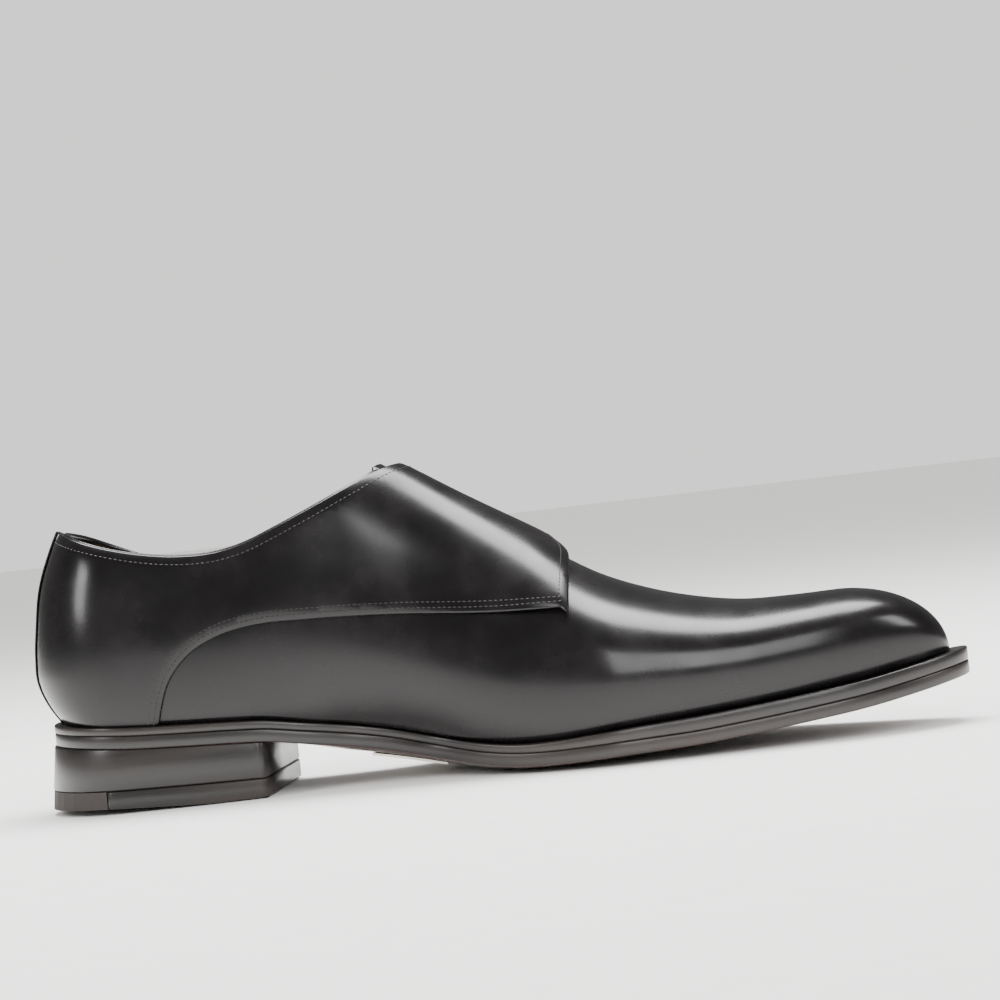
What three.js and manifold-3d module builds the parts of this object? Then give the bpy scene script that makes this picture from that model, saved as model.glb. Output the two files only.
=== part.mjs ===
// A left double monk strap shoe in black calf, standing empty on its heel and ball.
// Millimetres. +X runs to the toe, +Y to the outer (lateral) side and +Z up.
// The origin is on the floor, in the middle of the heel's rest.
import * as THREE from "three";
import { mergeVertices } from "three/addons/utils/BufferGeometryUtils.js";
import Module from "manifold-3d";

const wasm = await Module();
wasm.setup();

// Driving dimensions of the sole
const soleLength = 305; // heel's back edge to the toe's tip, along the floor
const heelLength = 78; // back edge to the middle of the breast's corners
const heelHeight = 22.6; // floor to the outsole, at the back of the heel
const heelFlare = 3.6; // how far the heel's foot stands behind the welt above it
const heelBevel = 1.7; // how far the back of the heel's foot is off the floor
const bevelLength = 22; // length over which it rises by that much
const restLength = 20; // the flat part of the heel's foot, up to the breast
const topPieceThickness = 6.1;
const liftCount = 3;
const breastHollow = 4; // how far the breast curves in between its corners
const rubberMedial = 25; // length of the top piece's rubber part on the inner side
const rubberLateral = 42; // and on the outer side, where a heel wears
const notchLength = 6; // the cut at the top piece's inner front corner
const notchWidth = 8;
const outsoleThickness = 4.3; // at its edge
const weltThickness = 2.4;
const forefootWelt = 1.6; // how much thicker the welt is at the forefoot
const toeSpring = 14.5;
const soleCrown = 2.8; // how far the outsole's middle hangs below its edges, at most
const insoleThickness = 3;

// Driving dimensions of the last and the upper
const ballWidth = 93.5;
const instepHeight = 83; // welt to the ridge, at the front of the collar
const backHeight = 62.8; // welt to the collar, at the heel
const lastLength = 299.5; // the upper's own length
const heelRadius = 31; // plan radius of the upper's heel
const toeRun = 54.5; // length over which the upper's plan rounds off to the toe
const toeDrop = 34; // length over which its ridge comes down to the toe
const upperWall = 1.9;
const gap = 0.3; // clearance between pieces that meet

// Driving dimensions of the quarter, its straps and the buckles
const quarterThickness = 1.5;
const flapLift = 2; // how far the flap's front edge stands off the vamp
const flapSideReach = 22; // how far the flap's front edge comes down the outer side before it meets a strap
const strapThickness = 1.6;
const strapWidth = 14;
const strapTail = 25; // middle bar to the strap's end, along the leather
const strapRoot = 11; // how far above the middle bar the straps part from the flap
const strapTipLength = 7;
const buckleWidth = 20; // at the keeper bar, the one nearest the strap's end
const buckleTopWidth = 18.4;
const buckleLength = 18.4;
const buckleBar = 1.9; // width of the frame's sides
const keeperBar = 2.6;
const buckleThickness = 1.7;
const middleBarRadius = 0.7;
const tabThickness = 0.8;
const tabWidth = 11;
const tabLength = 14;
const prongRadius = 0.6;
const prongLength = 11.4;
const backStripWidth = 9;
const backStripThickness = 1.1;
const tongueThickness = 1.6;
const throatWidth = 20; // opening under the flap
const throatLength = 42;
const plateLength = 24;
const plateWidth = 28;
const plateThickness = 0.8;

// Stations of the upper, as shares: at of the sole's length, widths of the ball width, heights of the instep height.
// foot is the half width at the welt, side the greatest half width, level its height, and ridge the height of the top line.
const stations = [
  { at: 0.0, medialFoot: 0.3, lateralFoot: 0.3, medialSide: 0.335, lateralSide: 0.335, level: 0.265, ridge: 0.9, fullness: 2.0 },
  { at: 0.1, medialFoot: 0.305, lateralFoot: 0.31, medialSide: 0.335, lateralSide: 0.337, level: 0.265, ridge: 0.87, fullness: 2.0 },
  { at: 0.2, medialFoot: 0.3, lateralFoot: 0.32, medialSide: 0.325, lateralSide: 0.342, level: 0.277, ridge: 0.885, fullness: 2.0 },
  { at: 0.3, medialFoot: 0.272, lateralFoot: 0.302, medialSide: 0.325, lateralSide: 0.352, level: 0.301, ridge: 1.09, fullness: 1.95 },
  { at: 0.36, medialFoot: 0.232, lateralFoot: 0.306, medialSide: 0.325, lateralSide: 0.374, level: 0.301, ridge: 1.117, fullness: 1.9 },
  { at: 0.425, medialFoot: 0.238, lateralFoot: 0.375, medialSide: 0.345, lateralSide: 0.425, level: 0.283, ridge: 1.031, fullness: 1.85 },
  { at: 0.49, medialFoot: 0.335, lateralFoot: 0.475, medialSide: 0.39, lateralSide: 0.505, level: 0.247, ridge: 0.91, fullness: 1.85 },
  { at: 0.557, medialFoot: 0.412, lateralFoot: 0.534, medialSide: 0.44, lateralSide: 0.562, level: 0.211, ridge: 0.753, fullness: 1.9 },
  { at: 0.588, medialFoot: 0.436, lateralFoot: 0.528, medialSide: 0.462, lateralSide: 0.556, level: 0.196, ridge: 0.664, fullness: 1.92 },
  { at: 0.623, medialFoot: 0.449, lateralFoot: 0.51, medialSide: 0.476, lateralSide: 0.538, level: 0.181, ridge: 0.575, fullness: 1.95 },
  { at: 0.672, medialFoot: 0.422, lateralFoot: 0.478, medialSide: 0.452, lateralSide: 0.505, level: 0.163, ridge: 0.487, fullness: 2.05 },
  { at: 0.721, medialFoot: 0.393, lateralFoot: 0.425, medialSide: 0.424, lateralSide: 0.452, level: 0.15, ridge: 0.425, fullness: 2.15 },
  { at: 0.77, medialFoot: 0.358, lateralFoot: 0.364, medialSide: 0.387, lateralSide: 0.39, level: 0.139, ridge: 0.379, fullness: 2.25 },
  { at: 0.82, medialFoot: 0.316, lateralFoot: 0.303, medialSide: 0.345, lateralSide: 0.33, level: 0.133, ridge: 0.357, fullness: 2.35 },
  { at: 0.885, medialFoot: 0.288, lateralFoot: 0.238, medialSide: 0.314, lateralSide: 0.266, level: 0.127, ridge: 0.335, fullness: 2.4 },
  { at: 0.984, medialFoot: 0.24, lateralFoot: 0.18, medialSide: 0.265, lateralSide: 0.206, level: 0.127, ridge: 0.3, fullness: 2.4 },
];

// The last's middle line swings to the inner side at the toe: y as a share of the ball width.
const swing = [
  { at: 0.0, y: 0.0 },
  { at: 0.49, y: 0.0 },
  { at: 0.623, y: -0.012 },
  { at: 0.721, y: -0.042 },
  { at: 0.82, y: -0.08 },
  { at: 1.0, y: -0.145 },
];

// The heel's back line: height as a share of the back height, set as a share of the heel's plan radius.
const backLine = [
  { height: 0.0, set: 0.3 },
  { height: 0.1, set: 0.17 },
  { height: 0.22, set: 0.08 },
  { height: 0.34, set: 0.085 },
  { height: 0.5, set: 0.13 },
  { height: 0.7, set: 0.21 },
  { height: 0.9, set: 0.375 },
  { height: 1.02, set: 0.5 },
  { height: 1.45, set: 0.85 },
];

// The outsole's lower edge: pitch is a share of the heel height, spring a share of the toe spring.
const soleEdge = [
  { at: 0.0, pitch: 1.0, spring: 0 },
  { at: 0.08, pitch: 0.935, spring: 0 },
  { at: 0.12, pitch: 0.893, spring: 0 },
  { at: 0.17, pitch: 0.855, spring: 0 },
  { at: 0.226, pitch: 0.815, spring: 0 },
  { at: 0.256, pitch: 0.785, spring: 0 },
  { at: 0.295, pitch: 0.695, spring: 0 },
  { at: 0.34, pitch: 0.585, spring: 0 },
  { at: 0.387, pitch: 0.447, spring: 0 },
  { at: 0.433, pitch: 0.288, spring: 0 },
  { at: 0.482, pitch: 0.155, spring: 0.0 },
  { at: 0.53, pitch: 0.08, spring: 0.016 },
  { at: 0.56, pitch: 0.05, spring: 0.06 },
  { at: 0.62, pitch: 0, spring: 0.186 },
  { at: 0.67, pitch: 0, spring: 0.22 },
  { at: 0.715, pitch: 0, spring: 0.255 },
  { at: 0.757, pitch: 0, spring: 0.324 },
  { at: 0.803, pitch: 0, spring: 0.407 },
  { at: 0.849, pitch: 0, spring: 0.51 },
  { at: 0.895, pitch: 0, spring: 0.628 },
  { at: 0.944, pitch: 0, spring: 0.793 },
  { at: 1.0, pitch: 0, spring: 1.0 },
];

// How far the outsole's middle hangs below its edges, as a share of the sole crown.
const crown = [
  { at: 0.262, share: 0 },
  { at: 0.34, share: 1 },
  { at: 0.46, share: 1 },
  { at: 0.62, share: 1 },
  { at: 0.66, share: 0.9 },
  { at: 0.72, share: 0.6 },
  { at: 0.8, share: 0.35 },
  { at: 0.9, share: 0.15 },
  { at: 1.0, share: 0 },
];

// How far the sole's edge stands out past the upper's foot, as a share of the ball width.
const weltMargin = [
  { at: 0.0, medial: 0.034, lateral: 0.034 },
  { at: 0.22, medial: 0.028, lateral: 0.02 },
  { at: 0.32, medial: 0.016, lateral: 0.014 },
  { at: 0.44, medial: 0.018, lateral: 0.02 },
  { at: 0.54, medial: 0.046, lateral: 0.044 },
  { at: 0.68, medial: 0.05, lateral: 0.052 },
  { at: 0.86, medial: 0.056, lateral: 0.056 },
  { at: 1.0, medial: 0.06, lateral: 0.06 },
];

// The collar's edge from either side: heights above the welt, as shares of the back height.
// It is cut lower on the outer side, under the ankle bone.
const collar = [
  { at: 0.0, medial: 1.065, lateral: 1.065 },
  { at: 0.042, medial: 1.018, lateral: 1.01 },
  { at: 0.081, medial: 0.955, lateral: 0.92 },
  { at: 0.132, medial: 0.897, lateral: 0.825 },
  { at: 0.18, medial: 0.868, lateral: 0.775 },
  { at: 0.218, medial: 0.873, lateral: 0.775 },
  { at: 0.256, medial: 0.918, lateral: 0.822 },
  { at: 0.295, medial: 1.02, lateral: 0.93 },
  { at: 0.338, medial: 1.145, lateral: 1.09 },
  { at: 0.377, medial: 1.272, lateral: 1.245 },
  { at: 0.407, medial: 1.376, lateral: 1.37 },
  { at: 0.43, medial: 1.429, lateral: 1.429 },
];
const collarBlend = 8; // half the width over which one side's collar passes into the other's, at the back

// The quarter's seam over the vamp, from the side: height above the welt, as a share of the instep height.
const seam = [
  { at: 0.143, height: -0.02 },
  { at: 0.149, height: 0.06 },
  { at: 0.162, height: 0.175 },
  { at: 0.188, height: 0.28 },
  { at: 0.221, height: 0.345 },
  { at: 0.269, height: 0.391 },
  { at: 0.31, height: 0.416 },
  { at: 0.418, height: 0.485 },
  { at: 0.523, height: 0.518 },
  { at: 0.586, height: 0.5 },
];

// The flap's front edge on the inner side, from the seam's end up to the ridge.
const flapFront = [
  { at: 0.593, height: 0.487 },
  { at: 0.592, height: 0.605 },
  { at: 0.589, height: 0.7 },
  { at: 0.58, height: 0.75 },
  { at: 0.571, height: 0.778 },
];

// The flap's front edge on the outer side, as shares of its side reach: down from the ridge, and back from its front.
const flapSweep = [
  { down: 0.2, back: 0.0 },
  { down: 0.45, back: 0.035 },
  { down: 0.68, back: 0.13 },
  { down: 0.86, back: 0.25 },
];

// Each buckle's middle bar: the share of the sole's length where its line leaves the ridge,
// how far down the outer side it lies (mm), and its strap's lean towards the heel in degrees.
const straps = [
  { name: "rear", at: 0.428, down: 33.1, lean: 11.6 },
  { name: "front", at: 0.514, down: 40.6, lean: 19.4 },
];

// The arch between the straps: along a strap from its middle bar as a share of the strap's root, and over its
// width as a share of half of that.
const crotch = [
  { strap: "front", along: -0.8, across: -0.93 },
  { strap: "front", along: -1.0, across: -1.06 },
  { strap: "front", along: -1.15, across: -1.25 },
  { strap: "front", along: -1.25, across: -1.55 },
  { strap: "rear", along: -1.2, across: 1.7 },
  { strap: "rear", along: -1.12, across: 1.3 },
  { strap: "rear", along: -1.0, across: 1.08 },
  { strap: "rear", along: -0.8, across: 0.93 },
];

const heelBack = restLength / 2 - heelLength + breastHollow;
const xAt = (share) => heelBack + share * soleLength;

// A smooth curve through a table's rows, by cubic pieces with finite-difference tangents.
function curve(rows, column, along = "at") {
  const x = rows.map((row) => row[along]);
  const y = rows.map((row) => row[column]);
  const chord = x.slice(1).map((next, i) => (y[i + 1] - y[i]) / (next - x[i]));
  const tangent = x.map((_, i) => {
    if (i === 0) return chord[0];
    if (i === x.length - 1) return chord[i - 1];
    const before = x[i] - x[i - 1];
    const after = x[i + 1] - x[i];
    return (chord[i - 1] * after + chord[i] * before) / (before + after);
  });
  return (at) => {
    if (at <= x[0]) return y[0] + tangent[0] * (at - x[0]);
    const last = x.length - 1;
    if (at >= x[last]) return y[last] + tangent[last] * (at - x[last]);
    let i = 0;
    while (at > x[i + 1]) i += 1;
    const span = x[i + 1] - x[i];
    const t = (at - x[i]) / span;
    const s = 1 - t;
    return (
      s * s * (1 + 2 * t) * y[i] +
      t * t * (3 - 2 * t) * y[i + 1] +
      s * t * (s * tangent[i] - t * tangent[i + 1]) * span
    );
  };
}

const station = {};
for (const column of Object.keys(stations[0]).filter((key) => key !== "at")) {
  station[column] = curve(stations, column);
}
const swingAt = curve(swing, "y");
const backSetAt = curve(backLine, "set", "height");
const pitchAt = curve(soleEdge, "pitch");
const springAt = curve(soleEdge, "spring");
const crownShareAt = curve(crown, "share");
const collarAt = { medial: curve(collar, "medial"), lateral: curve(collar, "lateral") };
const seamAt = curve(seam, "height");
const flapFrontAt = curve(
  flapFront.map((row) => ({ at: row.height, share: row.at })),
  "share",
);
const marginAt = { medial: curve(weltMargin, "medial"), lateral: curve(weltMargin, "lateral") };

const clamp = (value, low, high) => Math.min(high, Math.max(low, value));
const smooth = (value) => {
  const t = clamp(value, 0, 1);
  return t * t * (3 - 2 * t);
};
// A quarter-ellipse falling from 1 at the start to 0 at the end of a run.
const roundOff = (position, start, run) => Math.sqrt(1 - clamp((position - start) / run, 0, 1) ** 2);

// The outsole's lower edge and the welt's two faces, above the floor, at a distance from the heel's back edge.
const soleEdgeAt = (distance) => {
  const share = distance / soleLength;
  return heelHeight * Math.max(0, pitchAt(share)) + toeSpring * Math.max(0, springAt(share));
};
const weltFootAt = (distance) => soleEdgeAt(distance) + outsoleThickness + gap;
const weltTopAt = (distance) =>
  weltFootAt(distance) + weltThickness + forefootWelt * smooth((distance / soleLength - 0.52) / 0.2);

// The outsole's underside: level with its edge at across = -1 and 1, lower between, and flat where it meets the floor.
const undersideAt = (distance, across) => {
  const hang = soleCrown * clamp(crownShareAt(distance / soleLength), 0, 1);
  return Math.max(0, soleEdgeAt(distance) - hang * Math.min(1, 1.35 * (1 - across ** 2)));
};

// A point of the last. distance runs from the heel's end (0) to the toe's (lastLength).
// girth runs from -1 at the medial welt over the ridge (0) to +1 at the lateral welt.
// offset grows the form outwards by that much.
const ridgeShare = 0.7; // share of the girth that lies above the widest level
function lastPoint(distance, girth, offset = 0) {
  const share = distance / soleLength;
  const side = girth < 0 ? "medial" : "lateral";
  const plan =
    roundOff(distance, lastLength - toeRun, toeRun) * roundOff(heelRadius - distance, 0, heelRadius);
  const drop = roundOff(distance, lastLength - toeDrop, toeDrop);
  const slope =
    ((station.ridge(share + 0.01) - station.ridge(share - 0.01)) * instepHeight) / (0.02 * soleLength);
  const ends = Math.min(1, plan * 4);
  const tip = Math.min(1, drop * 4);
  const foot = (station[side + "Foot"](share) * ballWidth) * plan + offset * ends;
  const wide = (station[side + "Side"](share) * ballWidth) * plan + offset * ends;
  const ridge = station.ridge(share) * instepHeight * drop + offset * Math.hypot(1, slope) * tip;
  const level = station.level(share) * instepHeight * drop;
  const power = 2 / station.fullness(share);
  const around = Math.abs(girth);
  let y;
  let height;
  if (around <= ridgeShare) {
    const turn = (around / ridgeShare) * (Math.PI / 2);
    y = wide * Math.sin(turn) ** power;
    height = level + (ridge - level) * Math.cos(turn) ** power;
  } else {
    const turn = ((around - ridgeShare) / (1 - ridgeShare)) * (Math.PI / 2);
    y = foot + (wide - foot) * Math.cos(turn);
    height = level * (1 - Math.sin(turn));
  }
  const heelShare = clamp(1 - distance / (2 * heelRadius), 0, 1) ** 2;
  const toeShare = clamp((distance - lastLength + toeRun) / toeRun, 0, 1) ** 2;
  const set = backSetAt(height / backHeight) * heelRadius - offset;
  return new THREE.Vector3(
    heelBack + distance + set * heelShare + offset * toeShare,
    swingAt(share) * ballWidth + Math.sign(girth) * y,
    weltTopAt(distance) + gap + height,
  );
}

// Distances along the last: close together where its ends round off.
function lastDistances(heelSteps, middleSteps, toeSteps) {
  const list = [];
  for (let i = 0; i < heelSteps; i += 1) {
    list.push(heelRadius * (1 - Math.cos(((i / heelSteps) * Math.PI) / 2)));
  }
  const middle = lastLength - toeRun - heelRadius;
  for (let i = 0; i < middleSteps; i += 1) list.push(heelRadius + (middle * i) / middleSteps);
  for (let i = 0; i <= toeSteps; i += 1) {
    list.push(lastLength - toeRun + toeRun * Math.sin(((i / toeSteps) * Math.PI) / 2));
  }
  return list;
}

// A closed mesh becomes a solid once its repeated vertices are merged and collapsed faces dropped.
function solidOf(geometry) {
  const bare = new THREE.BufferGeometry();
  const source = geometry.index ? geometry.toNonIndexed() : geometry;
  bare.setAttribute("position", source.getAttribute("position"));
  const merged = mergeVertices(bare, 1e-3);
  const index = merged.index.array;
  const kept = [];
  for (let i = 0; i < index.length; i += 3) {
    const [a, b, c] = [index[i], index[i + 1], index[i + 2]];
    if (a !== b && b !== c && c !== a) kept.push(a, b, c);
  }
  return new wasm.Manifold(
    new wasm.Mesh({
      numProp: 3,
      vertProperties: new Float32Array(merged.attributes.position.array),
      triVerts: new Uint32Array(kept),
    }),
  );
}

function geometryOf(solid) {
  const mesh = solid.getMesh();
  const geometry = new THREE.BufferGeometry();
  const positions = new Float32Array(mesh.numVert * 3);
  for (let i = 0; i < mesh.numVert; i += 1) {
    const start = i * mesh.numProp;
    positions.set(mesh.vertProperties.subarray(start, start + 3), i * 3);
  }
  geometry.setAttribute("position", new THREE.BufferAttribute(positions, 3));
  geometry.setIndex(new THREE.BufferAttribute(new Uint32Array(mesh.triVerts), 1));
  geometry.computeVertexNormals();
  return geometry;
}

// A closed form skinned over rings of points. Each ring has as many points and turns the same way round +X.
// The first and last rings are filled, which leaves nothing where they have shrunk to a line or a point.
function skin(rings) {
  const positions = [];
  const count = rings[0].length;
  const face = (a, b, c) => positions.push(...a, ...b, ...c);
  for (let i = 0; i + 1 < rings.length; i += 1) {
    for (let j = 0; j < count; j += 1) {
      const k = (j + 1) % count;
      const [a, b] = [rings[i][j], rings[i][k]];
      const [c, d] = [rings[i + 1][j], rings[i + 1][k]];
      face(a, b, d);
      face(a, d, c);
    }
  }
  const fill = (ring, outward) => {
    const middle = ring.reduce((sum, p) => sum.add(p), new THREE.Vector3()).divideScalar(count);
    for (let j = 0; j < count; j += 1) {
      const k = (j + 1) % count;
      if (outward) face(middle, ring[j], ring[k]);
      else face(middle, ring[k], ring[j]);
    }
  };
  const size = (ring) => new THREE.Box3().setFromPoints(ring).getSize(new THREE.Vector3());
  if (size(rings[0]).y > 0.01) fill(rings[0], false);
  if (size(rings.at(-1)).y > 0.01) fill(rings.at(-1), true);
  const geometry = new THREE.BufferGeometry();
  geometry.setAttribute("position", new THREE.Float32BufferAttribute(positions, 3));
  return geometry;
}

// The last's whole form, grown by an offset and with its underside lowered, as one solid.
// offset is a number, or a function of the distance and the girth.
function lastForm(offset, lowered, distances, girthSteps) {
  const offsetAt = typeof offset === "function" ? offset : () => offset;
  const rings = distances.map((distance) => {
    const ring = [];
    for (let j = 0; j <= girthSteps; j += 1) {
      const girth = 1 - (2 * j) / girthSteps;
      ring.push(lastPoint(distance, girth, offsetAt(distance, girth)));
    }
    if (lowered > 0) {
      const [lateral, medial] = [ring[0], ring.at(-1)];
      ring.push(medial.clone().setZ(medial.z - lowered));
      ring.unshift(lateral.clone().setZ(lateral.z - lowered));
    }
    return ring;
  });
  return solidOf(skin(rings));
}

// Prisms that cut: from an outline seen from the side, between two values of y, or seen from above.
function sidePrism(outline, yLow, yHigh) {
  const shape = new THREE.Shape(outline.map(([x, z]) => new THREE.Vector2(x, z)));
  const geometry = new THREE.ExtrudeGeometry(shape, { depth: yHigh - yLow, bevelEnabled: false });
  geometry.rotateX(Math.PI / 2).translate(0, yHigh, 0);
  return solidOf(geometry);
}
function planPrism(outline, zLow, zHigh) {
  const shape = new THREE.Shape(outline.map(([x, y]) => new THREE.Vector2(x, y)));
  const geometry = new THREE.ExtrudeGeometry(shape, { depth: zHigh - zLow, bevelEnabled: false });
  return solidOf(geometry.translate(0, 0, zLow));
}

const clearOfShoe = 2 * instepHeight; // a height or width past every piece
const sideHeightAt = (share, height) => weltTopAt(share * soleLength) + height;
const collarEdge = (side, steps, from, to) =>
  Array.from({ length: steps + 1 }, (_, i) => {
    const share = from + ((to - from) * i) / steps;
    return [xAt(share), sideHeightAt(share, collarAt[side](share) * backHeight)];
  });
const seamEdge = seam.map((row) => [xAt(row.at), sideHeightAt(row.at, row.height * instepHeight)]);

// The throat: a slot with a round front end, seen from above.
function throatOutline(width, length) {
  const peak = xAt(collar.at(-1).at);
  const half = width / 2;
  const front = peak + length - half;
  const outline = [
    [peak - heelRadius, -half],
    [front, -half],
  ];
  for (let i = 1; i < 8; i += 1) {
    const turn = -Math.PI / 2 + (i * Math.PI) / 8;
    outline.push([front + half * Math.cos(turn), half * Math.sin(turn)]);
  }
  outline.push([front, half], [peak - heelRadius, half]);
  return outline;
}

// Everything above the collar's edge, from the heel to its peak.
function aboveCollar() {
  const span = [26, collar[0].at - 0.08, collar.at(-1).at];
  const [medial, lateral] = [collarEdge("medial", ...span), collarEdge("lateral", ...span)];
  const acrossSteps = 6;
  const rings = medial.map(([x, inner], i) => {
    const outer = lateral[i][1];
    const ring = [new THREE.Vector3(x, clearOfShoe, clearOfShoe), new THREE.Vector3(x, -clearOfShoe, clearOfShoe)];
    ring.push(new THREE.Vector3(x, -clearOfShoe, inner));
    for (let j = 0; j <= acrossSteps; j += 1) {
      const share = j / acrossSteps;
      const y = collarBlend * (2 * share - 1);
      ring.push(new THREE.Vector3(x, y, inner + (outer - inner) * smooth(share)));
    }
    ring.push(new THREE.Vector3(x, clearOfShoe, outer));
    return ring;
  });
  return solidOf(skin(rings));
}

// The upper is one shell: its outside runs over the last from welt to welt, and its inside runs back.
function makeUpper() {
  const girthSteps = 24;
  const rings = lastDistances(7, 22, 8).map((distance) => {
    const outside = [];
    const inside = [];
    for (let j = 0; j <= girthSteps; j += 1) {
      const girth = 1 - (2 * j) / girthSteps;
      outside.push(lastPoint(distance, girth));
      inside.push(lastPoint(distance, girth, -upperWall));
    }
    return [...outside, ...inside.reverse()];
  });
  const throat = planPrism(throatOutline(throatWidth, throatLength), instepHeight / 2, clearOfShoe);
  return solidOf(skin(rings)).subtract(aboveCollar()).subtract(throat);
}

// A spot of the upper's surface: its point and its normal, which looks outwards.
function spotAt(distance, girth) {
  const step = 0.01;
  const point = lastPoint(distance, girth);
  const ahead = lastPoint(distance + 1, girth).sub(point);
  const around = lastPoint(distance, girth + step).sub(point).divideScalar(step);
  const normal = new THREE.Vector3().crossVectors(around, ahead).negate().normalize();
  return { distance, girth, point, ahead, around, normal };
}

// Walks over the surface from a spot, straight on in a direction, as a strip of leather lies.
function walk(spot, direction, length) {
  const steps = Math.max(1, Math.ceil(Math.abs(length) / 0.5));
  const stride = length / steps;
  let here = spot;
  let heading = direction.clone();
  for (let i = 0; i < steps; i += 1) {
    heading.addScaledVector(here.normal, -heading.dot(here.normal)).normalize();
    const [aa, bb, ab] = [here.ahead.lengthSq(), here.around.lengthSq(), here.ahead.dot(here.around)];
    const [a, b] = [here.ahead.dot(heading) * stride, here.around.dot(heading) * stride];
    const fraction = 1 / (aa * bb - ab * ab);
    here = spotAt(here.distance + (a * bb - b * ab) * fraction, here.girth + (b * aa - a * ab) * fraction);
  }
  heading.addScaledVector(here.normal, -heading.dot(here.normal)).normalize();
  return { ...here, heading };
}

// The middle of a strap at its buckle's middle bar, down the outer side from the ridge, with the strap's heading.
function strapStart(strap) {
  const ridge = spotAt(strap.at * soleLength, 0.02);
  const across = new THREE.Vector3(0, 1, 0);
  const spot = walk(ridge, across, strap.down);
  const heading = spot.heading.clone().applyAxisAngle(spot.normal, THREE.MathUtils.degToRad(strap.lean));
  return { ...spot, heading };
}

// A place on a strap with its directions: down the strap, over its width towards the toe, and outwards.
// along is measured down the strap from the middle bar.
const strapStarts = new Map();
function strapFrame(strap, along, across) {
  if (!strapStarts.has(strap)) strapStarts.set(strap, strapStart(strap));
  const start = strapStarts.get(strap);
  const middle = walk(start, start.heading, along);
  const over = new THREE.Vector3().crossVectors(middle.heading, middle.normal);
  const spot = walk(middle, over, across);
  const down = new THREE.Vector3().crossVectors(spot.normal, spot.heading);
  return { point: spot.point, distance: spot.distance, girth: spot.girth, down, over: spot.heading, outward: spot.normal };
}

// The inner quarter with the flap that folds over the instep, up to where the straps part.
const flapOffset = (distance, girth) => {
  const forward = smooth((distance / soleLength - collar.at(-1).at) / (flapFront.at(-1).at - collar.at(-1).at));
  return gap + flapLift * forward * Math.cos(clamp(Math.abs(girth) / ridgeShare, 0, 1) * (Math.PI / 2));
};
function makeFlap() {
  const distances = lastDistances(7, 25, 3).filter((distance) => distance < xAt(0.68) - heelBack);
  const outer = lastForm((d, g) => flapOffset(d, g) + quarterThickness, 0, distances, 26);
  const inner = lastForm(flapOffset, 2 * upperWall, distances, 26);
  const top = collarEdge("medial", 26, collar[0].at - 0.08, collar.at(-1).at);
  const front = flapFront.map((row) => [xAt(row.at), sideHeightAt(row.at, row.height * instepHeight)]);
  const ridgeRear = top.at(-1)[0];
  const ridgeFront = front.at(-1)[0];
  const innerSide = sidePrism(
    [...seamEdge, ...front, [ridgeFront, clearOfShoe], [ridgeRear, clearOfShoe], ...top.reverse(), [top.at(-1)[0], 0], [seamEdge[0][0], 0]],
    -clearOfShoe,
    0,
  );
  const edgeOf = (name, along, across) => {
    const strap = straps.find((row) => row.name === name);
    const { point } = strapFrame(strap, along * strapRoot, (across * strapWidth) / 2);
    return [point.x, point.y];
  };
  const outerSide = planPrism(
    [
      [ridgeRear, -gap],
      [ridgeFront, -gap],
      ...flapSweep.map((row) => [ridgeFront - row.back * flapSideReach, row.down * flapSideReach]),
      edgeOf("front", -2.1, 1.04),
      edgeOf("front", -1.5, 1.04),
      edgeOf("front", -1.0, 1.04),
      edgeOf("front", -0.8, 0.93),
      ...crotch.map((row) => edgeOf(row.strap, row.along, row.across)),
      edgeOf("rear", -0.8, -0.93),
      edgeOf("rear", -1.0, -1.04),
      edgeOf("rear", -1.6, -1.04),
      edgeOf("rear", -2.4, -1.04),
    ],
    instepHeight / 2,
    clearOfShoe,
  );
  return outer.subtract(inner).intersect(innerSide.add(outerSide));
}

// A flat band that follows the outer side down a strap's line. lowAt is how high its underside stands off the upper.
function band(strap, alongs, halfAt, lowAt, thickness) {
  const acrossSteps = 4;
  const rings = alongs.map((along) => {
    const low = [];
    const high = [];
    for (let j = 0; j <= acrossSteps; j += 1) {
      const frame = strapFrame(strap, along, halfAt(along) * ((2 * j) / acrossSteps - 1));
      const height = lowAt(along, frame);
      low.push(frame.point.clone().addScaledVector(frame.outward, height));
      high.push(frame.point.clone().addScaledVector(frame.outward, height + thickness));
    }
    return [...high, ...low.reverse()];
  });
  return solidOf(skin(rings));
}

// How high the strap's underside stands off the upper: it lies on the tab and makes a hump over the middle bar.
const barHeight = gap + tabThickness + gap + middleBarRadius;
const humpHeight = barHeight + middleBarRadius + gap + tabThickness + gap + 0.4;
const outerBarAt = (buckleLength - buckleBar) / 2;
const tabLift = 2 * gap + tabThickness + 0.15; // of a strap's underside where it lies on the tab
function ridgeLift(strap) {
  const { distance, girth } = strapFrame(strap, -outerBarAt, 0);
  return flapOffset(distance, girth);
}
function strapHeight(along, { distance, girth }) {
  const hump = smooth(1 - Math.abs(along) / (outerBarAt - keeperBar / 2 - gap));
  const onTab = smooth((tabLength + 3 - along) / 5);
  const low = along < 0 ? flapOffset(distance, girth) - 0.05 : 2 * gap + (tabLift - 2 * gap) * onTab;
  return low + (humpHeight - low) * hump;
}

function makeStrap(strap) {
  const alongs = [];
  const square = strapTail - strapTipLength;
  for (let along = -strapRoot; along < square - 0.5; along += 1.75) alongs.push(along);
  for (const share of [0, 0.35, 0.6, 0.8, 0.93, 1]) alongs.push(square + strapTipLength * share);
  const halfAt = (along) => {
    const tip = clamp((along - square) / strapTipLength, 0, 0.97);
    return (strapWidth / 2) * Math.sqrt(1 - tip ** 2.4);
  };
  return band(strap, alongs, halfAt, strapHeight, strapThickness);
}

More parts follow.
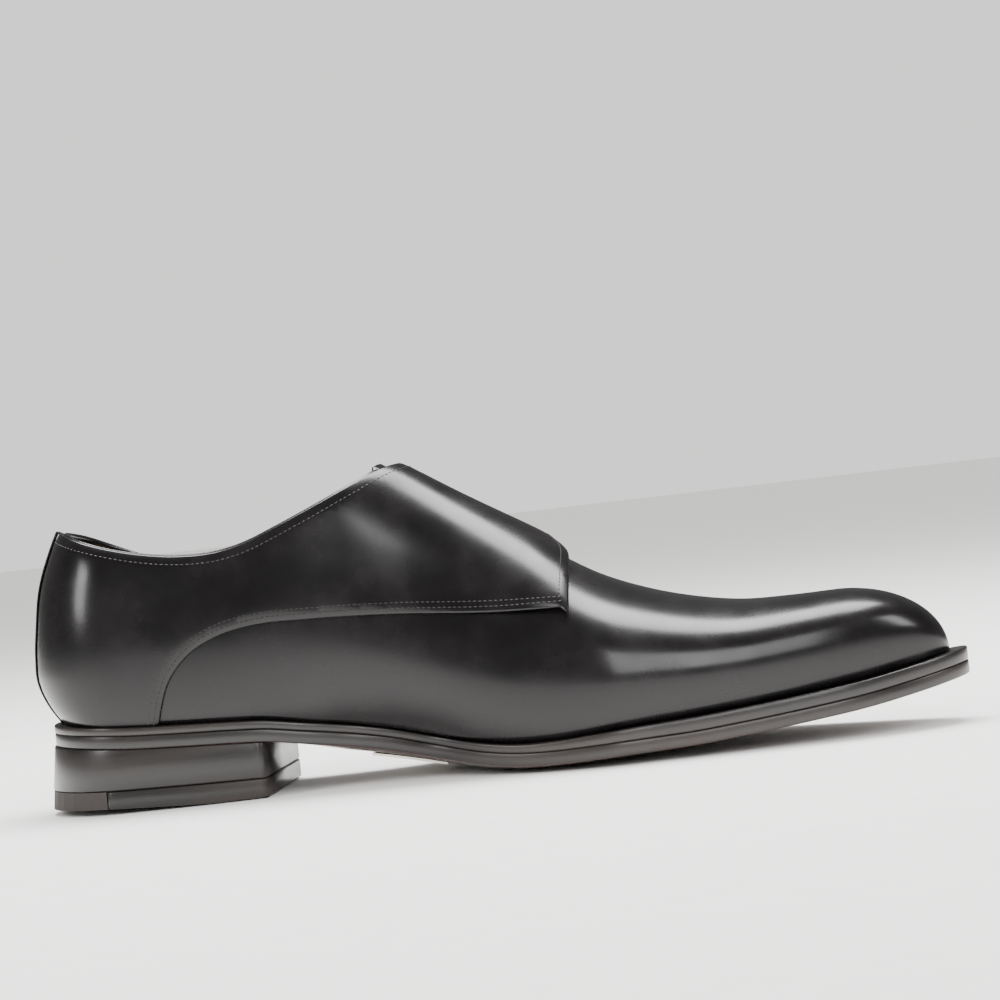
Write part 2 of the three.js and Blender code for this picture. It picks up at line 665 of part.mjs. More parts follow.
// Pieces of the buckle are made flat: x over the strap, y up it towards the ridge and z outwards.
// They then bend to the instep's curve and are placed at the middle bar's own place.
const frameBottom = (strap) => Math.max(ridgeLift(strap), tabLift) + strapThickness + 3 * gap;
function buckleFrame(strap) {
  const { point, down, outward } = strapFrame(strap, 0, 0);
  const up = down.clone().negate();
  const across = new THREE.Vector3().crossVectors(up, outward);
  return new THREE.Matrix4().makeBasis(across, up, outward).setPosition(point);
}
// How far the leather falls away below the flat at y.
function fallAt(strap, y) {
  const { point, outward } = strapFrame(strap, 0, 0);
  const { point: there } = strapFrame(strap, -y, 0);
  return -there.sub(point).dot(outward);
}
function bend(strap, geometry) {
  const position = geometry.getAttribute("position");
  for (let i = 0; i < position.count; i += 1) {
    position.setZ(i, position.getZ(i) - fallAt(strap, position.getY(i)));
  }
  return geometry;
}
function rod(radius, from, to, sides = 10) {
  const length = to.distanceTo(from);
  const geometry = new THREE.CylinderGeometry(radius, radius, length, sides);
  const turn = new THREE.Quaternion().setFromUnitVectors(
    new THREE.Vector3(0, 1, 0),
    to.clone().sub(from).normalize(),
  );
  return geometry.applyQuaternion(turn).translate(...from.clone().add(to).multiplyScalar(0.5));
}
// The frame's outline, or with an inset its opening: pointed at the keeper bar's ends, rounded at the top.
function frameOutline(inset, path) {
  const [low, high, top] = [buckleWidth / 2 - inset, buckleTopWidth / 2 - inset, buckleLength / 2 - inset];
  const foot = -buckleLength / 2 + (inset > 0 ? keeperBar : 0);
  const radius = 2.6 - inset / 2;
  const bulge = low + 0.5;
  path.moveTo(-low, foot).lineTo(low, foot).quadraticCurveTo(bulge, (foot + top) / 2, high, top - radius);
  path.quadraticCurveTo(high, top, high - radius, top).lineTo(radius - high, top);
  path.quadraticCurveTo(-high, top, -high, top - radius).quadraticCurveTo(-bulge, (foot + top) / 2, -low, foot);
  return path;
}

function makeBuckleFrame(strap) {
  const shape = frameOutline(0, new THREE.Shape());
  shape.holes.push(frameOutline(buckleBar, new THREE.Path()));
  const ring = new THREE.ExtrudeGeometry(shape, { depth: buckleThickness, bevelEnabled: false, curveSegments: 5 });
  ring.translate(0, 0, frameBottom(strap));
  const half = (buckleWidth + buckleTopWidth) / 4 - buckleBar / 2 + 0.2;
  const ends = [-half, half].map((x) => new THREE.Vector3(x, 0, barHeight));
  const lugTop = frameBottom(strap) + buckleThickness / 2;
  const lugFoot = barHeight - middleBarRadius;
  let frame = solidOf(bend(strap, ring)).add(solidOf(rod(middleBarRadius, ...ends)));
  for (const x of [-half, half]) {
    const lug = new THREE.BoxGeometry(buckleBar * 0.8, 2.4, lugTop - lugFoot);
    frame = frame.add(solidOf(lug.translate(x, 0, (lugTop + lugFoot) / 2)));
  }
  return frame.transform(buckleFrame(strap).elements);
}

// The prong runs from the middle bar over the outer bar nearest the ridge.
function prongRod(strap, extra) {
  const start = new THREE.Vector3(0, middleBarRadius + prongRadius + 0.4, barHeight + 0.5);
  const clear = frameBottom(strap) + buckleThickness - fallAt(strap, outerBarAt) + 3 * gap + prongRadius;
  const over = new THREE.Vector3(0, outerBarAt, clear);
  const end = start.clone().lerp(over, (prongLength - start.y) / (over.y - start.y));
  return rod(prongRadius + extra, start, end, 8);
}
const makeProng = (strap) => solidOf(prongRod(strap, 0)).transform(buckleFrame(strap).elements);

// The leather tab that wraps round the middle bar and is sewn to the outer side under the strap.
function makeTab(strap) {
  const outer = middleBarRadius + gap + tabThickness;
  const ring = new THREE.Shape().absarc(0, 0, outer, 0, 2 * Math.PI);
  ring.holes.push(new THREE.Path().absarc(0, 0, middleBarRadius + gap, 0, 2 * Math.PI, true));
  const wrap = new THREE.ExtrudeGeometry(ring, { depth: tabWidth, bevelEnabled: false, curveSegments: 7 });
  wrap.rotateX(Math.PI / 2).rotateZ(Math.PI / 2).translate(-tabWidth / 2, 0, barHeight);
  const slot = new THREE.BoxGeometry(2 * (prongRadius + gap) + 0.4, 8, 8).translate(0, 4, barHeight + 0.6);
  const eye = solidOf(wrap).subtract(solidOf(slot)).transform(buckleFrame(strap).elements);
  const alongs = Array.from({ length: 9 }, (_, i) => -0.2 + (tabLength * i) / 8);
  return eye.add(band(strap, alongs, () => tabWidth / 2, () => gap, tabThickness));
}

function makeQuarter() {
  let quarter = makeFlap();
  for (const strap of straps) {
    const hole = solidOf(prongRod(strap, 2 * gap)).transform(buckleFrame(strap).elements);
    quarter = quarter.add(makeStrap(strap)).subtract(hole);
  }
  return quarter;
}

// The tongue lies inside the upper, under the flap and the throat.
function makeTongue() {
  const distances = lastDistances(7, 25, 3).filter((distance) => distance < xAt(0.68) - heelBack);
  const top = -(upperWall + gap + 0.15);
  const outer = lastForm(top, 0, distances, 26);
  const inner = lastForm(top - tongueThickness, 2 * upperWall, distances, 26);
  const outline = throatOutline(throatWidth + 24, throatLength + 12);
  const rear = xAt(collar.at(-1).at) - 12;
  const region = planPrism(
    outline.map(([x, y]) => [Math.max(x, rear), y]),
    instepHeight / 2,
    clearOfShoe,
  );
  return outer.subtract(inner).intersect(region).subtract(aboveCollar());
}

// The narrow strip over the back seam, from the welt to the collar.
function makeBackStrip() {
  const distances = lastDistances(7, 3, 0).filter((distance) => distance < 2 * heelRadius);
  const outer = lastForm(gap + quarterThickness + gap + backStripThickness, 0, distances, 26);
  const inner = lastForm(gap + quarterThickness + gap, 2 * upperWall, distances, 26);
  const half = backStripWidth / 2;
  const region = planPrism(
    [
      [heelBack - heelRadius, -half],
      [heelBack + heelRadius / 2, -half],
      [heelBack + heelRadius / 2, half],
      [heelBack - heelRadius, half],
    ],
    0,
    clearOfShoe,
  );
  return outer.subtract(inner).intersect(region).subtract(aboveCollar());
}

// The sole's outline: half widths of its edge at a distance from the heel's back edge.
function soleHalfWidths(distance, back = heelFlare, shrink = 0) {
  const share = distance / soleLength;
  const plan =
    roundOff(distance, soleLength - toeRun, toeRun) *
    roundOff(heelRadius + back - distance, 0, heelRadius);
  const half = (side) =>
    (station[side + "Foot"](share) + marginAt[side](share)) * ballWidth * plan - shrink * Math.min(1, plan * 4);
  return { medial: half("medial"), lateral: half("lateral"), middle: swingAt(share) * ballWidth };
}
function soleDistances(back, heelSteps, middleSteps, toeSteps) {
  const list = [];
  for (let i = 0; i < heelSteps; i += 1) {
    list.push(back + heelRadius * (1 - Math.cos(((i / heelSteps) * Math.PI) / 2)));
  }
  const start = back + heelRadius;
  const middle = soleLength - toeRun - start;
  for (let i = 0; i < middleSteps; i += 1) list.push(start + (middle * i) / middleSteps);
  for (let i = 0; i <= toeSteps; i += 1) {
    list.push(soleLength - toeRun + toeRun * Math.sin(((i / toeSteps) * Math.PI) / 2));
  }
  return list;
}

// A plate of the sole's outline between two heights, the lower of them a function of the place across too.
function solePlate(lowAt, highAt, steps) {
  const acrossSteps = 8;
  const rings = soleDistances(heelFlare, ...steps).map((distance) => {
    const { medial, lateral, middle } = soleHalfWidths(distance, heelFlare);
    const x = heelBack + distance;
    const ring = [];
    for (let j = 0; j <= acrossSteps; j += 1) {
      const across = (2 * j) / acrossSteps - 1;
      const y = middle + (across < 0 ? across * medial : across * lateral);
      ring.push(new THREE.Vector3(x, y, lowAt(distance, across)));
    }
    ring.push(new THREE.Vector3(x, middle + lateral, highAt(distance)));
    ring.push(new THREE.Vector3(x, middle - medial, highAt(distance)));
    return ring;
  });
  return solidOf(skin(rings));
}
const makeOutsole = () => solePlate(undersideAt, (d) => soleEdgeAt(d) + outsoleThickness, [6, 26, 8]);
const makeWelt = () => solePlate(weltFootAt, weltTopAt, [6, 26, 8]);

// The insole lies inside the upper, on the welt.
function makeInsole() {
  const distances = lastDistances(6, 18, 7);
  const inside = lastForm(-upperWall - gap - 0.2, 0, distances, 12);
  const outline = distances.map((distance) => [heelBack + distance, weltTopAt(distance) + gap + insoleThickness]);
  const floorLine = distances.map((distance) => [heelBack + distance, weltTopAt(distance) + gap - 0.01]);
  const reach = 2 * heelRadius;
  const slab = sidePrism(
    [
      [outline[0][0] - reach, floorLine[0][1]],
      ...floorLine,
      [floorLine.at(-1)[0] + reach, floorLine.at(-1)[1]],
      [outline.at(-1)[0] + reach, outline.at(-1)[1]],
      ...outline.reverse(),
      [outline.at(-1)[0] - reach, outline.at(-1)[1]],
    ],
    -clearOfShoe,
    clearOfShoe,
  );
  return inside.intersect(slab);
}

// A slice of the heel between two heights, each a function of the distance.
// Its back leans out towards the floor, and its breast curves in.
function heelSlice(lowAt, highAt, from, to) {
  const steps = 12;
  const backAt = (z) => heelFlare * (z / (heelHeight + outsoleThickness));
  const outlineAt = (heightAt) => {
    const points = [];
    const back = backAt(heightAt(0));
    const start = Math.max(from, back);
    const rest = heelLength - restLength;
    for (let i = 0; i <= steps; i += 1) {
      const share = i / steps;
      points.push(start + (to - start) * (start <= back + 0.01 ? 1 - Math.cos((share * Math.PI) / 2) : share));
    }
    if (to > rest) points.push(rest, rest + restLength / 2);
    if (to > bevelLength && start < bevelLength) points.push(bevelLength);
    points.sort((a, b) => a - b);
    return points.map((distance) => {
      const { medial, lateral } = soleHalfWidths(distance, back);
      return { distance, medial, lateral, z: heightAt(distance) };
    });
  };
  const low = outlineAt(lowAt);
  const high = outlineAt(highAt);
  const rings = low.map((row, i) => {
    const top = high[i];
    const ring = [];
    for (const [level, order] of [
      [row, [-1, 0, 1]],
      [top, [1, 0, -1]],
    ]) {
      for (const across of order) {
        const half = across < 0 ? level.medial : level.lateral;
        const x = heelBack + level.distance;
        ring.push(new THREE.Vector3(x, across * half, level.z));
      }
    }
    return ring;
  });
  return solidOf(skin(rings));
}
// What lies in front of the breast, whose middle is hollowed towards the heel.
function aheadOfBreast() {
  const breast = heelBack + heelLength;
  const outline = [];
  for (let i = 0; i <= 10; i += 1) {
    const across = (2 * i) / 10 - 1;
    outline.push([breast - breastHollow * (1 - across ** 2), across * heelRadius * 1.1]);
  }
  return planPrism(
    [[breast + heelLength, -heelLength], [breast + heelLength, heelLength], [breast, heelLength], ...outline.reverse(), [breast, -heelLength]],
    -1,
    2 * heelHeight,
  );
}
const heelFront = heelLength + 2;
const heelFootAt = (distance) =>
  heelBevel * clamp((heelLength - restLength - distance) / (heelLength - restLength - bevelLength), 0, 1);
const topPieceAt = (distance) => topPieceThickness + heelBevel * (1 - distance / heelLength);
function makeLift(number) {
  const top = (distance) => soleEdgeAt(distance) - gap;
  const low = (distance) => topPieceAt(distance) + gap;
  const level = (share, clearance) => (distance) =>
    low(distance) + (top(distance) - low(distance)) * share + clearance;
  const foot = level(number / liftCount, number > 0 ? gap / 2 : 0);
  const head = level((number + 1) / liftCount, number + 1 < liftCount ? -gap / 2 : 0);
  return heelSlice(foot, head, 0, heelFront).subtract(aheadOfBreast());
}
function notchCutter() {
  const breast = heelBack + heelLength;
  const { medial } = soleHalfWidths(heelLength, 0);
  const reach = 3;
  const corners = [
    [breast - notchLength, -medial, -0.01],
    [breast, -medial + notchWidth, -0.01],
    [breast, -medial, topPieceThickness - 0.4],
    [breast + reach, -medial - reach, -0.01],
  ].map((corner) => new THREE.Vector3(...corner));
  const [a, b, c, d] = corners;
  const faces = [
    [a, b, c],
    [b, d, c],
    [d, a, c],
    [a, d, b],
  ];
  const geometry = new THREE.BufferGeometry();
  geometry.setAttribute(
    "position",
    new THREE.Float32BufferAttribute(
      faces.flat().flatMap((p) => [...p]),
      3,
    ),
  );
  const cutter = solidOf(geometry);
  return cutter.volume() > 0 ? cutter : solidOf(flipped(geometry));
}
function flipped(geometry) {
  const source = geometry.getAttribute("position");
  const turned = source.clone();
  for (let i = 0; i < source.count; i += 3) {
    turned.setXYZ(i + 1, source.getX(i + 2), source.getY(i + 2), source.getZ(i + 2));
    turned.setXYZ(i + 2, source.getX(i + 1), source.getY(i + 1), source.getZ(i + 1));
  }
  return new THREE.BufferGeometry().setAttribute("position", turned);
}
// The joint of the top piece's two parts slants, from the inner side to the outer one.
const aheadOfJoint = (x, far) =>
  planPrism(
    [
      [heelBack + x + rubberMedial, -heelRadius],
      [heelBack + x + rubberLateral, heelRadius],
      [heelBack + x + rubberLateral + (rubberLateral - rubberMedial) / 2, 2 * heelRadius],
      [far, 2 * heelRadius],
      [far, -2 * heelRadius],
      [heelBack + x + rubberMedial - (rubberLateral - rubberMedial) / 2, -2 * heelRadius],
    ],
    -1,
    heelHeight,
  );
const makeRubberPiece = () =>
  heelSlice(heelFootAt, topPieceAt, 0, heelLength - restLength).subtract(aheadOfJoint(0, heelBack + heelLength));
const makeLeatherPiece = () =>
  heelSlice(heelFootAt, topPieceAt, 0, heelFront)
    .intersect(aheadOfJoint(gap, heelBack + 2 * heelLength))
    .subtract(aheadOfBreast())
    .subtract(notchCutter());

// A bare metal plate on the waist, following the outsole's underside.
function makePlate() {
  const start = 0.36 * soleLength;
  const steps = 4;
  const rings = [];
  for (let i = 0; i <= steps; i += 1) {
    const distance = start + (plateLength * i) / steps;
    const ring = [];
    const { medial, lateral, middle } = soleHalfWidths(distance);
    const row = (z, order) => {
      for (const share of order) {
        const y = middle + (lateral - medial) / 2 + (share * plateWidth) / 2;
        const across = y > middle ? (y - middle) / lateral : (y - middle) / medial;
        ring.push(new THREE.Vector3(heelBack + distance, y, undersideAt(distance, across) - z));
      }
    };
    row(gap + plateThickness, [-1, -0.5, 0, 0.5, 1]);
    row(gap, [1, 0.5, 0, -0.5, -1]);
    rings.push(ring);
  }
  return solidOf(skin(rings));
}

// Materials, by what each piece is made of
const calf = new THREE.MeshStandardMaterial({ color: "#1a1718", roughness: 0.32, metalness: 0 });
const edgeLeather = new THREE.MeshStandardMaterial({ color: "#1c1817", roughness: 0.45, metalness: 0 });
const soleLeather = new THREE.MeshStandardMaterial({ color: "#3a1d18", roughness: 0.3, metalness: 0 });
const lining = new THREE.MeshStandardMaterial({ color: "#b08a66", roughness: 0.7, metalness: 0 });
const rubber = new THREE.MeshStandardMaterial({ color: "#2b2523", roughness: 0.7, metalness: 0 });
const nickel = new THREE.MeshStandardMaterial({ color: "#c9c4bb", roughness: 0.18, metalness: 1 });

const shoe = new THREE.Group();
function addPiece(name, solid, material) {
  const mesh = new THREE.Mesh(geometryOf(solid), material);
  mesh.name = name;
  shoe.add(mesh);
}

addPiece("upper", makeUpper(), calf);
addPiece("strap_quarter", makeQuarter(), calf);
addPiece("tongue", makeTongue(), calf);
addPiece("back_strip", makeBackStrip(), calf);
addPiece("insole", makeInsole(), lining);
addPiece("welt", makeWelt(), edgeLeather);
addPiece("outsole", makeOutsole(), soleLeather);
for (let number = 0; number < liftCount; number += 1) {
  addPiece(`heel_lift_${number + 1}`, makeLift(number), edgeLeather);
}
addPiece("top_piece_rubber", makeRubberPiece(), rubber);
addPiece("top_piece_leather", makeLeatherPiece(), edgeLeather);
addPiece("waist_plate", makePlate(), nickel);
for (const strap of straps) {
  addPiece(`buckle_frame_${strap.name}`, makeBuckleFrame(strap), nickel);
  addPiece(`buckle_prong_${strap.name}`, makeProng(strap), nickel);
  addPiece(`buckle_tab_${strap.name}`, makeTab(strap), calf);
}

export default shoe;
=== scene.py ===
"""A left double monk strap shoe in polished black calf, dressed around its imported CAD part.

All sizes are millimetres until a mesh is made, and a mesh is in metres. +X runs to the toe,
+Y to the outer (lateral) side and +Z up. The origin is on the floor under the heel.
"""

import logging
import math
from dataclasses import dataclass, field
from enum import Enum
from typing import Callable, Iterable, Sequence

import bmesh
import bpy
import numpy as np
from mathutils import Matrix, Vector
from mathutils.geometry import delaunay_2d_cdt

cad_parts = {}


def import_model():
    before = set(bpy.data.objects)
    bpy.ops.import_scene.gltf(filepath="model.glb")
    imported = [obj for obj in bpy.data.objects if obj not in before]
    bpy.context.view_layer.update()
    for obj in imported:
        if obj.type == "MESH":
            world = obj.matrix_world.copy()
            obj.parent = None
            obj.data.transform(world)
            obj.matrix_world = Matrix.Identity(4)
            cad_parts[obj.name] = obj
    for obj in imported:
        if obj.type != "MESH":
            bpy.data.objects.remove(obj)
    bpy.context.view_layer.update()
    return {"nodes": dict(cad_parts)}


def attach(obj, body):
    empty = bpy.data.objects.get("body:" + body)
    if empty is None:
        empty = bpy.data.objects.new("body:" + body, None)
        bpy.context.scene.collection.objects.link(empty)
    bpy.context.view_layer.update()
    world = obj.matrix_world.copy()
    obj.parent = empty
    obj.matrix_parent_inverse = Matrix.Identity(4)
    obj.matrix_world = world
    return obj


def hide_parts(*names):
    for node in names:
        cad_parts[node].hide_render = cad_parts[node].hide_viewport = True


log = logging.getLogger("monk_strap_shoe")
Array = np.ndarray
MM = 0.001


class Curve:
    """A smooth curve through a table's rows, by cubic pieces with finite-difference tangents."""

    def __init__(self, at: Sequence[float], values: Sequence[float]) -> None:
        """Keeps the rows and works out their tangents.

        Args:
            at: where each row stands, rising.
            values: the column's value at each row.
        """
        self.x, self.y = np.array(at, float), np.array(values, float)
        chord, span = np.diff(self.y) / np.diff(self.x), np.diff(self.x)
        self.tangent = np.empty_like(self.x)
        self.tangent[0], self.tangent[-1] = chord[0], chord[-1]
        self.tangent[1:-1] = (chord[:-1] * span[1:] + chord[1:] * span[:-1]) / (span[:-1] + span[1:])

    def __call__(self, at: Array | float) -> Array:
        """The curve's value, straight on past its ends."""
        at = np.asarray(at, float)
        i = np.clip(np.searchsorted(self.x, at, side="right") - 1, 0, len(self.x) - 2)
        span = self.x[i + 1] - self.x[i]
        t = (at - self.x[i]) / span
        s = 1 - t
        value = s * s * (1 + 2 * t) * self.y[i] + t * t * (3 - 2 * t) * self.y[i + 1]
        value = value + s * t * (s * self.tangent[i] - t * self.tangent[i + 1]) * span
        value = np.where(at <= self.x[0], self.y[0] + self.tangent[0] * (at - self.x[0]), value)
        return np.where(at >= self.x[-1], self.y[-1] + self.tangent[-1] * (at - self.x[-1]), value)


def columns(names: str, rows: Sequence[Sequence[float]]) -> dict[str, Curve]:
    """Curves through a table, one for each column after the first."""
    table = np.array(rows, float)
    return {name: Curve(table[:, 0], table[:, i + 1]) for i, name in enumerate(names.split()[1:])}


def smooth(value: Array | float) -> Array:
    """An S-curve from 0 to 1."""
    t = np.clip(value, 0, 1)
    return t * t * (3 - 2 * t)


def round_off(position: Array | float, start: float, run: float) -> Array:
    """A quarter ellipse falling from 1 at the start to 0 at the end of a run."""
    return np.sqrt(1 - np.clip((position - start) / run, 0, 1) ** 2)


def unit(vectors: Array) -> Array:
    """Vectors at length 1, along the last axis."""
    return vectors / np.maximum(np.linalg.norm(vectors, axis=-1, keepdims=True), 1e-12)


STATIONS = columns(
    "at medialFoot lateralFoot medialSide lateralSide level ridge fullness",
    [
        (0.0, 0.3, 0.3, 0.335, 0.335, 0.265, 0.9, 2.0),
        (0.1, 0.305, 0.31, 0.335, 0.337, 0.265, 0.87, 2.0),
        (0.2, 0.3, 0.32, 0.325, 0.342, 0.277, 0.885, 2.0),
        (0.3, 0.272, 0.302, 0.325, 0.352, 0.301, 1.09, 1.95),
        (0.36, 0.232, 0.306, 0.325, 0.374, 0.301, 1.117, 1.9),
        (0.425, 0.238, 0.375, 0.345, 0.425, 0.283, 1.031, 1.85),
        (0.49, 0.335, 0.475, 0.39, 0.505, 0.247, 0.91, 1.85),
        (0.557, 0.412, 0.534, 0.44, 0.562, 0.211, 0.753, 1.9),
        (0.588, 0.436, 0.528, 0.462, 0.556, 0.196, 0.664, 1.92),
        (0.623, 0.449, 0.51, 0.476, 0.538, 0.181, 0.575, 1.95),
        (0.672, 0.422, 0.478, 0.452, 0.505, 0.163, 0.487, 2.05),
        (0.721, 0.393, 0.425, 0.424, 0.452, 0.15, 0.425, 2.15),
        (0.77, 0.358, 0.364, 0.387, 0.39, 0.139, 0.379, 2.25),
        (0.82, 0.316, 0.303, 0.345, 0.33, 0.133, 0.357, 2.35),
        (0.885, 0.288, 0.238, 0.314, 0.266, 0.127, 0.335, 2.4),
        (0.984, 0.24, 0.18, 0.265, 0.206, 0.127, 0.3, 2.4),
    ],
)
SWING = columns(
    "at y",
    [(0.0, 0.0), (0.49, 0.0), (0.623, -0.012), (0.721, -0.042), (0.82, -0.08), (1.0, -0.145)],
)["y"]
BACK_SET = columns(
    "height set",
    [
        (0.0, 0.3),
        (0.1, 0.17),
        (0.22, 0.08),
        (0.34, 0.085),
        (0.5, 0.13),
        (0.7, 0.21),
        (0.9, 0.375),
        (1.02, 0.5),
        (1.45, 0.85),
    ],
)["set"]
SOLE_EDGE = columns(
    "at pitch spring",
    [
        (0.0, 1.0, 0),
        (0.08, 0.935, 0),
        (0.12, 0.893, 0),
        (0.17, 0.855, 0),
        (0.226, 0.815, 0),
        (0.256, 0.785, 0),
        (0.295, 0.695, 0),
        (0.34, 0.585, 0),
        (0.387, 0.447, 0),
        (0.433, 0.288, 0),
        (0.482, 0.155, 0.0),
        (0.53, 0.08, 0.016),
        (0.56, 0.05, 0.06),
        (0.62, 0, 0.186),
        (0.67, 0, 0.22),
        (0.715, 0, 0.255),
        (0.757, 0, 0.324),
        (0.803, 0, 0.407),
        (0.849, 0, 0.51),
        (0.895, 0, 0.628),
        (0.944, 0, 0.793),
        (1.0, 0, 1.0),
    ],
)
CROWN = columns(
    "at share",
    [
        (0.262, 0),
        (0.34, 1),
        (0.46, 1),
        (0.62, 1),
        (0.66, 0.9),
        (0.72, 0.6),
        (0.8, 0.35),
        (0.9, 0.15),
        (1.0, 0),
    ],
)["share"]
WELT_MARGIN = columns(
    "at medial lateral",
    [
        (0.0, 0.034, 0.034),
        (0.22, 0.028, 0.02),
        (0.32, 0.016, 0.014),
        (0.44, 0.018, 0.02),
        (0.54, 0.046, 0.044),
        (0.68, 0.05, 0.052),
        (0.86, 0.056, 0.056),
        (1.0, 0.06, 0.06),
    ],
)
COLLAR_ROWS = [
    (0.0, 1.065, 1.065),
    (0.042, 1.018, 1.01),
    (0.081, 0.955, 0.92),
    (0.132, 0.897, 0.825),
    (0.18, 0.868, 0.775),
    (0.218, 0.873, 0.775),
    (0.256, 0.918, 0.822),
    (0.295, 1.02, 0.93),
    (0.338, 1.145, 1.09),
    (0.377, 1.272, 1.245),
    (0.407, 1.376, 1.37),
    (0.43, 1.429, 1.429),
]
COLLAR = columns("at medial lateral", COLLAR_ROWS)
COLLAR_PEAK = COLLAR_ROWS[-1][0]
SEAM_ROWS = [
    (0.143, -0.02),
    (0.149, 0.06),
    (0.162, 0.175),
    (0.188, 0.28),
    (0.221, 0.345),
    (0.269, 0.391),
    (0.31, 0.416),
    (0.418, 0.485),
    (0.523, 0.518),
    (0.586, 0.5),
]
FLAP_FRONT_ROWS = [(0.593, 0.487), (0.592, 0.605), (0.589, 0.7), (0.58, 0.75), (0.571, 0.778)]
FLAP_SWEEP_ROWS = [(0.2, 0.0), (0.45, 0.035), (0.68, 0.13), (0.86, 0.25)]
CROTCH_ROWS = [
    ("front", -0.8, -0.93),
    ("front", -1.0, -1.06),
    ("front", -1.15, -1.25),
    ("front", -1.25, -1.55),
    ("rear", -1.2, 1.7),
    ("rear", -1.12, 1.3),
    ("rear", -1.0, 1.08),
    ("rear", -0.8, 0.93),
]


